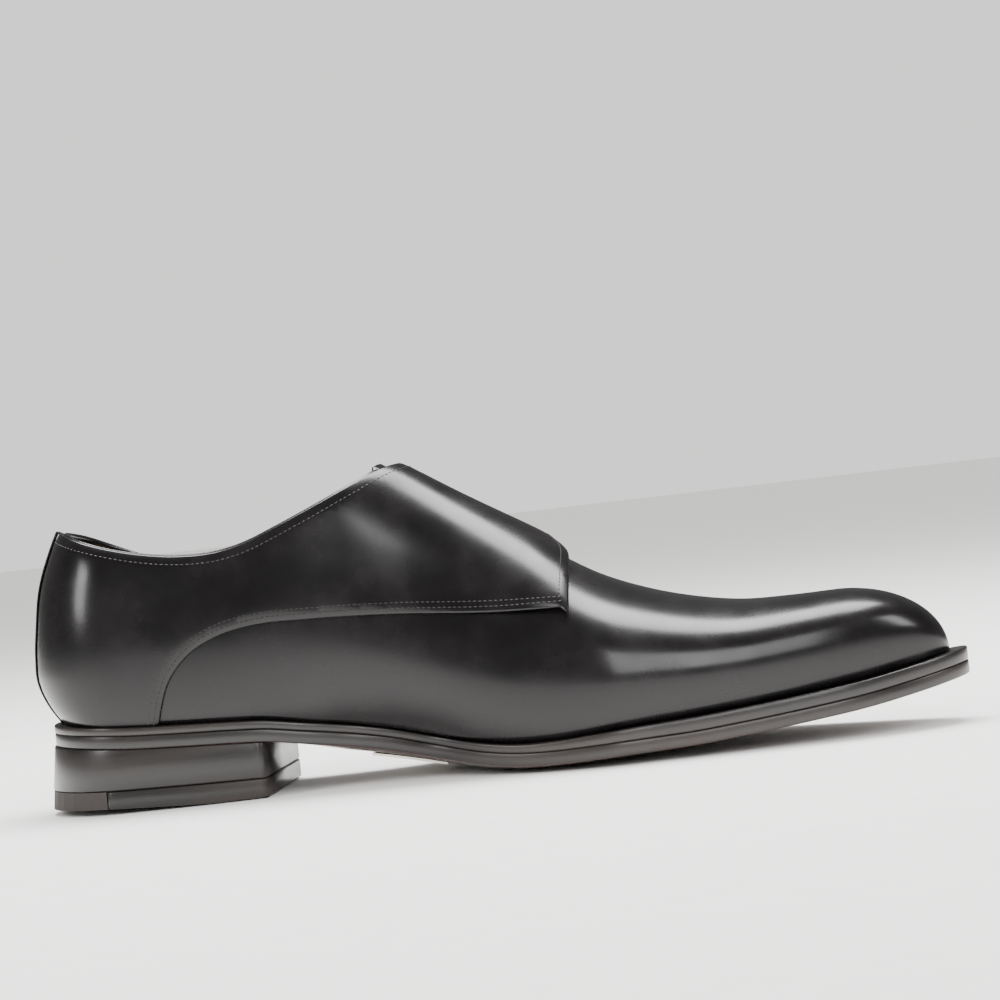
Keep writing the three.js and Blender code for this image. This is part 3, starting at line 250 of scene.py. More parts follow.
@dataclass(frozen=True)
class Last:
    """The form the shoe was made over, with the sole's line under it."""

    sole_length: float = 305.0
    heel_length: float = 78.0
    heel_height: float = 22.6
    heel_flare: float = 3.6
    rest_length: float = 20.0
    breast_hollow: float = 4.0
    outsole_thickness: float = 4.3
    welt_thickness: float = 2.4
    forefoot_welt: float = 1.6
    toe_spring: float = 14.5
    sole_crown: float = 2.8
    ball_width: float = 93.5
    instep_height: float = 83.0
    back_height: float = 62.8
    length: float = 299.5
    heel_radius: float = 31.0
    toe_run: float = 54.5
    toe_drop: float = 34.0
    ridge_share: float = 0.7
    gap: float = 0.3
    collar_blend: float = 8.0

    @property
    def heel_back(self) -> float:
        """x of the heel's back edge."""
        return self.rest_length / 2 - self.heel_length + self.breast_hollow

    @property
    def s_length(self) -> float:
        """Length of the last's own measure s, which runs as its plan outline does."""
        rounds = self.heel_radius + self.toe_run
        return self.length - self.toe_run - self.heel_radius + math.pi / 2 * rounds

    def distance(self, s: Array | float) -> Array:
        """Distance from the heel's end at the last's own measure s."""
        s = np.asarray(s, float)
        heel, toe = self.heel_radius, self.toe_run
        turn = heel * math.pi / 2
        start = turn + self.length - toe - heel
        back = heel * (1 - np.cos(np.clip(s / heel, -math.pi / 2, math.pi / 2)))
        front = self.length - toe + toe * np.sin(np.clip((s - start) / toe, 0, math.pi / 2))
        return np.where(s < turn, back, np.where(s < start, heel + s - turn, front))

    def measure(self, distance: Array | float) -> Array:
        """The last's own measure s at a distance from its heel's end."""
        distance = np.asarray(distance, float)
        heel, toe = self.heel_radius, self.toe_run
        turn = heel * math.pi / 2
        start = turn + self.length - toe - heel
        back = heel * np.arccos(np.clip(1 - distance / heel, -1, 1))
        front = start + toe * np.arcsin(np.clip((distance - self.length + toe) / toe, 0, 1))
        middle = turn + distance - heel
        return np.where(distance < heel, back, np.where(distance < self.length - toe, middle, front))

    def sole_edge(self, distance: Array | float) -> Array:
        """Height of the outsole's lower edge."""
        share = distance / self.sole_length
        pitch = np.maximum(0, SOLE_EDGE["pitch"](share))
        return self.heel_height * pitch + self.toe_spring * np.maximum(0, SOLE_EDGE["spring"](share))

    def welt_foot(self, distance: Array | float) -> Array:
        """Height of the welt's underside."""
        return self.sole_edge(distance) + self.outsole_thickness + self.gap

    def welt_top(self, distance: Array | float) -> Array:
        """Height of the welt's top, on which the upper stands."""
        thicker = self.forefoot_welt * smooth((distance / self.sole_length - 0.52) / 0.2)
        return self.welt_foot(distance) + self.welt_thickness + thicker

    def underside(self, distance: Array, across: Array) -> Array:
        """Height of the outsole's underside, across from -1 at the medial edge to 1."""
        hang = self.sole_crown * np.clip(CROWN(distance / self.sole_length), 0, 1)
        return np.maximum(0, self.sole_edge(distance) - hang * np.minimum(1, 1.35 * (1 - across**2)))

    def point(self, distance: Array, girth: Array, offset: Array | float = 0.0) -> Array:
        """Points of the last.

        Args:
            distance: from the heel's end (0) to the toe's.
            girth: -1 at the medial welt, 0 on the ridge, 1 at the lateral welt.
            offset: how far the form is grown outwards.

        Returns:
            An array with x, y and z in its last axis.
        """
        distance, girth, offset = np.broadcast_arrays(
            np.asarray(distance, float), np.asarray(girth, float), np.asarray(offset, float)
        )
        share = distance / self.sole_length
        toe = round_off(distance, self.length - self.toe_run, self.toe_run)
        plan = toe * round_off(self.heel_radius - distance, 0, self.heel_radius)
        drop = round_off(distance, self.length - self.toe_drop, self.toe_drop)
        ridge_at = STATIONS["ridge"]
        slope = (ridge_at(share + 0.01) - ridge_at(share - 0.01)) * self.instep_height
        slope = slope / (0.02 * self.sole_length)
        ends, tip = np.minimum(1, plan * 4), np.minimum(1, drop * 4)
        medial = girth < 0

        def half(kind: str) -> Array:
            """Half width of the last at its foot or its side."""
            inner, outer = STATIONS["medial" + kind](share), STATIONS["lateral" + kind](share)
            return np.where(medial, inner, outer) * self.ball_width * plan + offset * ends

        foot, wide = half("Foot"), half("Side")
        ridge = ridge_at(share) * self.instep_height * drop + offset * np.hypot(1, slope) * tip
        level = STATIONS["level"](share) * self.instep_height * drop
        power = 2 / STATIONS["fullness"](share)
        around = np.abs(girth)
        turn = np.clip(around / self.ridge_share, 0, 1) * np.pi / 2
        lower = np.clip((around - self.ridge_share) / (1 - self.ridge_share), 0, 1) * np.pi / 2
        above = around <= self.ridge_share
        y = np.where(above, wide * np.sin(turn) ** power, foot + (wide - foot) * np.cos(lower))
        cosine = np.maximum(np.cos(turn), 0) ** power
        height = np.where(above, level + (ridge - level) * cosine, level * (1 - np.sin(lower)))
        heel_share = np.clip(1 - distance / (2 * self.heel_radius), 0, 1) ** 2
        toe_share = np.clip((distance - self.length + self.toe_run) / self.toe_run, 0, 1) ** 2
        back = BACK_SET(height / self.back_height) * self.heel_radius - offset
        return np.stack(
            [
                self.heel_back + distance + back * heel_share + offset * toe_share,
                SWING(share) * self.ball_width + np.sign(girth) * y,
                self.welt_top(distance) + self.gap + height,
            ],
            -1,
        )

    def spot(self, s: Array, girth: Array, offset: Array | float = 0.0) -> tuple[Array, Array]:
        """Points and outward normals of the last at its own measure s."""
        s, girth = np.asarray(s, float), np.asarray(girth, float)
        inside = np.clip(s, 0.35, self.s_length - 0.35)
        across = np.clip(girth, -0.995, 0.995)
        step_s, step_g = 0.25, 0.003
        ahead = self.point(self.distance(inside + step_s), across) - self.point(
            self.distance(inside - step_s), across
        )
        around = self.point(self.distance(inside), across + step_g) - self.point(
            self.distance(inside), across - step_g
        )
        return self.point(self.distance(s), girth, offset), unit(np.cross(ahead, around))

    def collar_height(self, x: Array, y: Array) -> Array:
        """Height of the collar's edge over a place, blended between its two sides at the back."""
        share = (x - self.heel_back) / self.sole_length
        inner, outer = COLLAR["medial"](share), COLLAR["lateral"](share)
        side = smooth((y / self.collar_blend + 1) / 2)
        top = self.welt_top(share * self.sole_length)
        return top + (inner + (outer - inner) * side) * self.back_height


@dataclass
class Place:
    """Places on the last's surface with their directions, many at once."""

    distance: Array
    girth: Array
    point: Array
    ahead: Array
    around: Array
    normal: Array
    heading: Array


class Surface:
    """Finds places on the last and walks over it, as a strip of leather lies."""

    def __init__(self, last: Last) -> None:
        """Keeps the last it works on."""
        self.last = last

    def place(self, distance: Array, girth: Array, heading: Array) -> Place:
        """Places at distances and girths, with a heading each."""
        point = self.last.point(distance, girth)
        ahead = self.last.point(distance + 1, girth) - point
        around = (self.last.point(distance, girth + 0.01) - point) / 0.01
        return Place(distance, girth, point, ahead, around, -unit(np.cross(around, ahead)), heading)

    def walk(self, start: Place, lengths: Array) -> Place:
        """Walks straight on from each place by its own length."""
        steps = max(1, int(math.ceil(np.abs(lengths).max() / 0.5)))
        stride = lengths / steps
        here, heading = start, start.heading

        def level(vector: Array, normal: Array) -> Array:
            """The vector laid flat on the surface."""
            return unit(vector - normal * (vector * normal).sum(-1, keepdims=True))

        for _ in range(steps):
            heading = level(heading, here.normal)
            aa, bb = (here.ahead**2).sum(-1), (here.around**2).sum(-1)
            ab = (here.ahead * here.around).sum(-1)
            a, b = (here.ahead * heading).sum(-1) * stride, (here.around * heading).sum(-1) * stride
            part = 1 / (aa * bb - ab * ab)
            distance = here.distance + (a * bb - b * ab) * part
            here = self.place(distance, here.girth + (b * aa - a * ab) * part, heading)
        here.heading = level(heading, here.normal)
        return here

    def solve(self, x: Array, second: Array, axis: int, girth: Array, height: float) -> Array:
        """Finds the (s, girth) whose point has a given x and a given y or z.

        Args:
            x: the wanted x of each point.
            second: the wanted y or z.
            axis: 1 where second is y, 2 where it is z.
            girth: a first guess, on the right side.
            height: how far off the last the point lies.

        Returns:
            Rows of s and girth.
        """
        last = self.last
        s = last.measure(np.clip(x - last.heel_back, 2.0, last.length - 2))
        g, low, high = girth.copy(), np.where(girth < 0, -0.998, 0.001), np.where(girth < 0, -0.001, 0.998)

        def at(s_: Array, g_: Array) -> Array:
            """x and the second coordinate at a guess."""
            return last.point(last.distance(s_), g_, height)[..., [0, axis]]

        for _ in range(30):
            here = at(s, g)
            js, jg = (at(s + 0.2, g) - here) / 0.2, (at(s, g + 0.002) - here) / 0.002
            miss = np.stack([x - here[..., 0], second - here[..., 1]], -1)
            det = js[..., 0] * jg[..., 1] - js[..., 1] * jg[..., 0]
            det = np.where(np.abs(det) < 1e-6, 1e-6, det)
            ds = (miss[..., 0] * jg[..., 1] - miss[..., 1] * jg[..., 0]) / det
            dg = (js[..., 0] * miss[..., 1] - js[..., 1] * miss[..., 0]) / det
            s = np.clip(s + np.clip(ds, -4, 4), 0.0, last.s_length)
            g = np.clip(g + np.clip(dg, -0.05, 0.05), low, high)
        return np.stack([s, g], -1)


@dataclass(frozen=True)
class Strap:
    """One buckled strap and its place on the outer side."""

    name: str
    at: float
    down: float
    lean: float
    width: float = 14.0
    tail: float = 25.0
    root: float = 11.0
    tip_length: float = 7.0

    def start(self, surface: Surface) -> Place:
        """The strap's middle at its buckle's middle bar, heading down the strap."""
        one = np.ones(1)
        across = np.array([[0.0, 1.0, 0.0]])
        ridge = surface.place(one * self.at * surface.last.sole_length, one * 0.02, across)
        here = surface.walk(ridge, one * self.down)
        lean = Matrix.Rotation(math.radians(self.lean), 3, Vector(here.normal[0]))
        here.heading = np.array([lean @ Vector(here.heading[0])])
        return here

    def frames(self, surface: Surface, along: Array, across: Array) -> Place:
        """Places along the strap (from the middle bar, down it) and across it (to the toe)."""
        along, across = np.broadcast_arrays(np.asarray(along, float), np.asarray(across, float))
        start = self.start(surface)
        spread = Place(*[np.repeat(getattr(start, key), len(along), 0) for key in start.__dict__])
        middle = surface.walk(spread, along)
        middle.heading = np.cross(middle.heading, middle.normal)
        return surface.walk(middle, across)

    def half(self, along: Array) -> Array:
        """Half width of the strap, rounded at its tip."""
        tip = np.clip((along - self.tail + self.tip_length) / self.tip_length, 0, 0.995)
        return self.width / 2 * np.sqrt(1 - tip**2.4)


STRAPS = (Strap("rear", 0.428, 33.1, 11.6), Strap("front", 0.514, 40.6, 19.4))
GIRTH_SCALE = 80.0  # mm that one unit of girth stands for where sheets are laid out flat
RIM_FULLNESS = 0.8  # how full a cut edge's round is, as a share of half the leather's thickness
EDGE_REACH = 1.6  # mm over which the leather thins to its cut edge


def resampled(points: Array, step: float) -> Array:
    """A polyline's points set evenly, at most step apart, with its own ends."""
    lengths = np.r_[0, np.cumsum(np.linalg.norm(np.diff(points, axis=0), axis=1))]
    count = max(2, int(math.ceil(lengths[-1] / step)) + 1)
    at = np.linspace(0, lengths[-1], count)
    return np.stack([np.interp(at, lengths, points[:, k]) for k in range(points.shape[1])], -1)


def smoothed(points: Array, rounds: int) -> Array:
    """A polyline with its corners eased and its ends kept."""
    for _ in range(rounds):
        points = np.vstack([points[:1], (points[:-2] + 2 * points[1:-1] + points[2:]) / 4, points[-1:]])
    return points


def distance_to_line(points: Array, line: Array) -> Array:
    """Distance from each point to the nearest segment of a polyline."""
    nearest = np.full(len(points), 1e9)
    for a, b in zip(line[:-1], line[1:]):
        along = b - a
        share = np.clip(((points - a) @ along) / max(along @ along, 1e-9), 0, 1)
        nearest = np.minimum(nearest, ((points - a - share[:, None] * along) ** 2).sum(-1))
    return np.sqrt(nearest)


def new_object(
    name: str, vertices: Array, faces: Iterable[Sequence[int]], slots: Sequence[int] = ()
) -> bpy.types.Object:
    """A mesh object from points in millimetres, smooth shaded, with its doubles merged.

    Args:
        name: the piece's name.
        vertices: its points.
        faces: its faces, as indices of points.
        slots: the material slot of each face, where it has more than one.

    Returns:
        The object, at the origin.
    """
    mesh = bpy.data.meshes.new(name)
    mesh.from_pydata((np.asarray(vertices) * MM).tolist(), [], [list(f) for f in faces])
    if slots:
        mesh.polygons.foreach_set("material_index", slots)
    work = bmesh.new()
    work.from_mesh(mesh)
    bmesh.ops.remove_doubles(work, verts=work.verts, dist=2e-6)
    bmesh.ops.dissolve_degenerate(work, edges=work.edges, dist=1e-6)
    bmesh.ops.recalc_face_normals(work, faces=work.faces)
    work.to_mesh(mesh)
    work.free()
    mesh.shade_smooth()
    obj = bpy.data.objects.new(name, mesh)
    bpy.context.scene.collection.objects.link(obj)
    return obj


@dataclass
class Sheet:
    """A piece of leather cut to an outline on the last, with a thickness and a rounded cut edge."""

    name: str
    outline: Array
    step: float
    surface: Callable[[Array, Array, Array], Array]
    base: Callable[[Array, Array], Array]
    thickness: float
    seamless: Callable[[Array], Array]
    edge_drop: float = 0.35
    triangles: Array = field(init=False)
    flat: Array = field(init=False)

    def lay_out(self) -> None:
        """Fills the outline with triangles, close together beside its edge."""
        line = self.outline
        low, high = line.min(0), line.max(0)
        places = np.arange(low[0] + self.step / 2, high[0], self.step)
        rows = np.arange(-GIRTH_SCALE, GIRTH_SCALE + 0.1, self.step)
        rows = rows[(rows > low[1]) & (rows < high[1])]
        grid = np.stack(np.meshgrid(places, rows, indexing="ij"), -1).reshape(-1, 2)
        closed = np.vstack([line, line[:1]])
        inside = self.within(grid, closed)
        grid = grid[inside]
        grid = grid[distance_to_line(grid, closed) > self.step * 0.55]
        points = np.vstack([line, grid])
        loop = list(range(len(line)))
        out = delaunay_2d_cdt([Vector(p) for p in points], [], [loop], 1, 1e-5)
        self.flat = np.array([tuple(v) for v in out[0]])
        self.triangles = np.array([f for f in out[2] if len(f) == 3])

    @staticmethod
    def within(points: Array, closed: Array) -> Array:
        """Which points lie inside a closed polyline."""
        inside = np.zeros(len(points), bool)
        for (x0, y0), (x1, y1) in zip(closed[:-1], closed[1:]):
            if y0 == y1:
                continue
            crosses = (y0 > points[:, 1]) != (y1 > points[:, 1])
            inside ^= crosses & (points[:, 0] < (x1 - x0) * (points[:, 1] - y0) / (y1 - y0) + x0)
        return inside

    def build(self) -> bpy.types.Object:
        """Makes the closed mesh: outer face, inner face and the round rim that joins them."""
        self.lay_out()
        s, girth = self.flat[:, 0], self.flat[:, 1] / GIRTH_SCALE
        low = self.base(s, girth)
        middle = self.surface(s, girth, low + self.thickness / 2)
        count = len(s)
        edges: dict[tuple[int, int], int] = {}
        for a, b, c in self.triangles:
            for e in ((a, b), (b, c), (c, a)):
                edges[(min(e), max(e))] = edges.get((min(e), max(e)), 0) + 1
        rim = [(a, b) for (a, b), n in edges.items() if n == 1]
        hidden = self.seamless(self.flat)
        rim = [(a, b) for a, b in rim if not (hidden[a] and hidden[b])]
        directed = set()
        for a, b, c in self.triangles:
            directed.update(((a, b), (b, c), (c, a)))
        rim = [(a, b) if (a, b) in directed else (b, a) for a, b in rim]
        up = unit(self.surface(s, girth, low + self.thickness) - self.surface(s, girth, low))
        outward = np.zeros((count, 3))
        for a, b in rim:
            side = np.cross(middle[b] - middle[a], up[a] + up[b])
            outward[a] += side
            outward[b] += side
        outward = unit(outward)
        if not self.upright():
            outward = -outward
        radius = self.thickness / 2
        on_rim = sorted({v for edge in rim for v in edge})
        near = np.full(count, 1e9)
        if rim:
            line = np.array([middle[v] for v in on_rim])
            for i in range(0, count, 400):
                gap = middle[i : i + 400, None] - line[None]
                near[i : i + 400] = np.sqrt((gap**2).sum(-1).min(1))
        drop = self.edge_drop * np.exp(-((near / EDGE_REACH) ** 2))
        outer = self.surface(s, girth, low + self.thickness - drop)
        inner = self.surface(s, girth, low)
        vertices, faces = [outer, inner], []
        for a, b, c in self.triangles:
            faces.append((a, b, c))
            faces.append((count + c, count + b, count + a))
        index = {v: i for i, v in enumerate(on_rim)}
        rings = []
        for k in (1, 2, 3):
            turn = math.pi * k / 4
            top, foot = outer[on_rim], inner[on_rim]
            centre = (top + foot) / 2
            bulge = outward[on_rim] * radius * math.sin(turn) * RIM_FULLNESS
            ring = centre + (top - foot) / 2 * math.cos(turn) + bulge
            rings.append(2 * count + len(on_rim) * (k - 1))
            vertices.append(ring)
        for a, b in rim:
            i, j = index[a], index[b]
            chain = [(a, b)] + [(start + i, start + j) for start in rings] + [(count + a, count + b)]
            for (p, q), (r, t) in zip(chain[:-1], chain[1:]):
                faces.append((q, p, r, t))
        slots = [0, 1] * len(self.triangles)
        slots += [0] * (len(faces) - len(slots))
        return new_object(self.name, np.vstack(vertices), faces, slots)

    def upright(self) -> bool:
        """Whether the flat triangles turn the same way as the surface's outward side."""
        a, b, c = self.triangles[len(self.triangles) // 2]
        s, girth = self.flat[:, 0], self.flat[:, 1] / GIRTH_SCALE
        low = self.base(s, girth)
        p = self.surface(s[[a, b, c]], girth[[a, b, c]], low[[a, b, c]])
        q = self.surface(s[[a]], girth[[a]], low[[a]] + 1)
        return float(np.cross(p[1] - p[0], p[2] - p[0]) @ (q[0] - p[0])) > 0


@dataclass
class Uppers:
    """The upper, the quarter with its flap and straps, the tongue and the back strip."""

    last: Last
    wall: float = 1.9
    quarter_thickness: float = 1.5
    flap_lift: float = 2.0
    flap_side_reach: float = 22.0
    throat_width: float = 20.0
    throat_length: float = 42.0
    tongue_thickness: float = 1.6
    tongue_overlap: float = 12.0
    strip_width: float = 9.0
    strip_thickness: float = 1.1
    buckle_length: float = 18.4

    def __post_init__(self) -> None:
        """Works out the straps' middle lines."""
        self.surface = Surface(self.last)
        self.lines = {}
        for strap in STRAPS:
            along = np.arange(-16, strap.tail + 0.1, 0.5)
            self.lines[strap.name] = (along, strap.frames(self.surface, along, along * 0).point)

    def top_girth(self, s: Array, side: int, height: float = 0.0, throat: float = 0.0) -> Array:
        """The girth at which a side stops under the collar, or beside the throat."""
        last = self.last
        distance = last.distance(s)
        low, high = np.zeros_like(s) + 1e-4, np.ones_like(s)
        peak = last.heel_back + COLLAR_PEAK * last.sole_length
        half = throat / 2
        front = peak + self.throat_length - half
        for _ in range(28):
            middle = (low + high) / 2
            p = last.point(distance, side * middle, height)
            above = (p[:, 2] > last.collar_height(p[:, 0], p[:, 1])) & (p[:, 0] < peak)
            if throat:
                reach = np.clip((p[:, 0] - front) / half, 0, 1)
                y = SWING(distance / last.sole_length) * last.ball_width
                above |= (p[:, 0] > peak - 30) & (np.abs(p[:, 1] - y) < half * np.sqrt(1 - reach**2))
            low, high = np.where(above, middle, low), np.where(above, high, middle)
        return np.where(high < 0.003, 0.0, high)

    def flap_offset(self, s: Array, girth: Array) -> Array:
        """How far the quarter's underside stands off the upper."""
        share = self.last.distance(s) / self.last.sole_length
        forward = smooth((share - COLLAR_PEAK) / (FLAP_FRONT_ROWS[-1][0] - COLLAR_PEAK))
        turn = np.clip(np.abs(girth) / self.last.ridge_share, 0, 1) * np.pi / 2
        return self.last.gap + self.flap_lift * forward * np.cos(turn)

    def quarter_base(self, s: Array, girth: Array) -> Array:
        """The quarter's underside: the flap's, with the straps' humps over their middle bars."""
        last = self.last
        base = self.flap_offset(s, girth)
        point = last.point(last.distance(s), girth)
        bar = last.gap + 0.8 + last.gap + 0.7
        top = bar + 0.7 + last.gap + 0.8 + last.gap + 0.4
        reach = (self.buckle_length - 1.9) / 2 - 1.3 - last.gap
        for strap in STRAPS:
            along_at, line = self.lines[strap.name]
            gap = ((point[:, None] - line[None]) ** 2).sum(-1)
            nearest = gap.argmin(1)
            along, across = along_at[nearest], np.sqrt(gap.min(1))
            on = (girth > 0.05) & (across < 8.2) & (along > -9.5)
            tab = smooth((14 + 3 - along) / 5)
            rest = np.where(along < 0, base - 0.05, 0.6 + 0.95 * tab)
            hump = smooth(1 - np.abs(along) / reach)
            base = np.where(on, rest + (top - rest) * hump, base)
        return base

    def on_last(self, s: Array, girth: Array, height: Array) -> Array:
        """Points off the last by growing it."""
        return self.last.point(self.last.distance(s), girth, height)

    def on_leather(self, s: Array, girth: Array, height: Array) -> Array:
        """Points off the last along its own normals."""
        point, normal = self.last.spot(s, girth)
        return point + normal * np.asarray(height)[..., None]

    def upper(self) -> bpy.types.Object:
        """The upper with its vamp, open at the collar, at the throat and underneath."""
        s = np.linspace(0, self.last.s_length, 230)
        lateral = self.top_girth(s, 1, 0.0, self.throat_width) * GIRTH_SCALE
        medial = self.top_girth(s, -1, 0.0, self.throat_width) * GIRTH_SCALE
        last_open = int(max(np.nonzero(lateral > 0)[0].max(), np.nonzero(medial > 0)[0].max()))
        keep = slice(0, last_open + 1)
        foot = np.stack([s, s * 0 - GIRTH_SCALE], -1)
        end = np.array([[s[-1], w] for w in np.linspace(-GIRTH_SCALE, GIRTH_SCALE, 60)[1:-1]])
        back = np.stack([s, s * 0 + GIRTH_SCALE], -1)[::-1]
        rise = np.linspace(0, 1, 34)[1:-1]
        up = np.array([[0.0, GIRTH_SCALE + (lateral[0] - GIRTH_SCALE) * t] for t in rise])
        over = np.stack([s[keep], lateral[keep]], -1)
        down = np.stack([s[keep], -medial[keep]], -1)[::-1]
        close = np.array([[0.0, -GIRTH_SCALE + (GIRTH_SCALE - medial[0]) * (1 - t)] for t in rise])
        outline = np.vstack([foot, end, back, up, over, [[s[last_open + 1], 0.0]], down, close])
        sheet = Sheet(
            "upper_calf",
            outline,
            2.6,
            self.on_last,
            lambda s_, g_: s_ * 0 - self.wall,
            self.wall,
            lambda flat: (flat[:, 0] < 0.01) | (flat[:, 0] > self.last.s_length - 0.01),
            0.0,
        )
        return sheet.build()

    def strap_edge(self, name: str, along: Sequence[float], across: Sequence[float]) -> Array:
        """Rows of s and scaled girth for places on a strap, in mm along and across."""
        strap = next(row for row in STRAPS if row.name == name)
        here = strap.frames(self.surface, np.array(along, float), np.array(across, float))
        return np.stack([self.last.measure(here.distance), here.girth * GIRTH_SCALE], -1)

    def quarter_parts(self) -> dict[str, Array]:
        """The quarter's outline as named stretches of s and scaled girth, running round it."""
        last = self.last
        height = self.last.gap + self.quarter_thickness
        xs = np.array([last.heel_back + at * last.sole_length for at, _ in SEAM_ROWS])
        tops = np.array(
            [last.welt_top(at * last.sole_length) + h * last.instep_height for at, h in SEAM_ROWS]
        )
        fine = np.linspace(0, 1, 160)
        chord = np.r_[0, np.cumsum(np.hypot(np.diff(xs), np.diff(tops)))]
        chord /= chord[-1]
        seam_x, seam_z = Curve(chord, xs)(fine), Curve(chord, tops)(fine)
        keep = seam_z > last.welt_top(seam_x - last.heel_back) + 0.9
        seam = self.surface.solve(seam_x[keep], seam_z[keep], 2, np.full(keep.sum(), -0.75), height)
        seam[:, 1] *= GIRTH_SCALE
        front_x = np.array([last.heel_back + at * last.sole_length for at, _ in FLAP_FRONT_ROWS])
        front_z = np.array(
            [last.welt_top(at * last.sole_length) + h * last.instep_height for at, h in FLAP_FRONT_ROWS]
        )
        front = self.surface.solve(front_x, front_z, 2, np.full(len(front_x), -0.4), height + 1.2)
        front[:, 1] *= GIRTH_SCALE
        ridge_front = front_x[-1]
        sweep_x = np.array([ridge_front - back * self.flap_side_reach for _, back in FLAP_SWEEP_ROWS])
        sweep_y = np.array([down * self.flap_side_reach for down, _ in FLAP_SWEEP_ROWS])
        sweep = self.surface.solve(sweep_x, sweep_y, 1, np.full(len(sweep_x), 0.2), height + 1.0)
        sweep[:, 1] *= GIRTH_SCALE
        half = STRAPS[0].width / 2
        root = STRAPS[0].root
        neck = np.array([-2.1, -1.5, -1.0]) * root
        parts = {"seam": resampled(seam, 1.5)}
        fore = np.vstack([front, sweep, self.strap_edge("front", neck, [half * 1.02] * 3)])
        parts["front"] = smoothed(resampled(smoothed(resampled(fore, 3.0), 3), 1.3), 2)
        for name in ("front", "rear"):
            strap = next(row for row in STRAPS if row.name == name)
            square = strap.tail - strap.tip_length
            tip = square + strap.tip_length * np.sin(np.linspace(0, 1, 12) * 1.55)
            down = np.r_[np.arange(-8.5, square, 1.2), tip]
            edge = strap.half(down)
            both = np.r_[down, down[::-1]], np.r_[edge, -edge[::-1]]
            parts["strap_" + name] = self.strap_edge(name, *both)
            if name == "front":
                arch = [
                    self.strap_edge(which, [a * root], [c * half])[0]
                    for which, a, c in CROTCH_ROWS
                ]
                parts["crotch"] = smoothed(resampled(np.array(arch), 1.0), 3)
        parts = {key: parts[key] for key in ("seam", "front", "strap_front", "crotch", "strap_rear")}
        neck = self.strap_edge("rear", np.array([-1.0, -1.6, -2.4]) * root, [-half * 1.02] * 3)
        s_top = np.linspace(last.measure(COLLAR_PEAK * last.sole_length), 0, 120)
        collar = np.stack([s_top, -self.top_girth(s_top, -1, height) * GIRTH_SCALE], -1)
        ridge = [[s_top[0] + 1.0, 3.0]]
        parts["rear"] = smoothed(resampled(smoothed(resampled(np.vstack([neck, ridge]), 3.0), 4), 1.3), 2)
        parts["collar"] = resampled(collar[2:], 1.4)
        heel_top = collar[-1, 1]
        parts["heel"] = np.array([[0.0, w] for w in np.linspace(heel_top, -GIRTH_SCALE * 0.985, 34)[1:]])
        foot_s = np.arange(1.5, parts["seam"][0, 0], 1.5)
        parts["foot"] = np.stack([foot_s, foot_s * 0 - GIRTH_SCALE * 0.985], -1)
        return parts

    def quarter(self) -> bpy.types.Object:
        """The inner quarter, whose flap folds over the instep and parts into two straps."""
        self.parts = self.quarter_parts()
        outline = np.vstack(list(self.parts.values()))
        keep = np.r_[True, np.linalg.norm(np.diff(outline, axis=0), axis=1) > 0.15]
        sheet = Sheet(
            "quarter_and_straps",
            outline[keep],
            1.7,
            self.on_leather,
            self.quarter_base,
            self.quarter_thickness,
            lambda flat: np.zeros(len(flat), bool),
        )
        return sheet.build()

    def tongue(self) -> bpy.types.Object:
        """The tongue under the flap and the throat."""
        last = self.last
        depth = -(self.wall + last.gap + 0.15) - self.tongue_thickness
        peak = last.heel_back + COLLAR_PEAK * last.sole_length
        half = self.throat_width / 2 + self.tongue_overlap
        front = peak + self.throat_length + self.tongue_overlap - half
        turns = np.linspace(-math.pi / 2, math.pi / 2, 40)
        rear = np.linspace(peak - 11, front, 40)
        x = np.r_[rear, front + half * np.cos(turns), rear[::-1]]
        y = np.r_[rear * 0 - half, half * np.sin(turns), rear * 0 + half]
        rows = self.surface.solve(x, y, 1, np.where(y < 0, -0.35, 0.35), depth)
        rows[:, 1] *= GIRTH_SCALE
        low_s = rows[:, 0].min()
        span = np.linspace(low_s, last.measure(COLLAR_PEAK * last.sole_length), 30)
        limit = {side: self.top_girth(span, side, depth) * GIRTH_SCALE + 0.3 for side in (1, -1)}
        lateral = rows[:, 1] > 0
        outer = np.interp(rows[:, 0], span, limit[1], right=0)
        inner = np.interp(rows[:, 0], span, limit[-1], right=0)
        rows[:, 1] = np.where(lateral, np.maximum(rows[:, 1], outer), np.minimum(rows[:, 1], -inner))
        top = np.vstack(
            [
                np.stack([span, limit[1]], -1)[1:-1],
                [[span[-1] + 0.5, 0.0]],
                np.stack([span, -limit[-1]], -1)[1:-1][::-1],
            ]
        )
        sheet = Sheet(
            "tongue_calf",
            np.vstack([rows, top]),
            2.2,
            self.on_last,
            lambda s_, g_: s_ * 0 + depth,
            self.tongue_thickness,
            lambda flat: np.zeros(len(flat), bool),
            0.0,
        )
        return sheet.build()

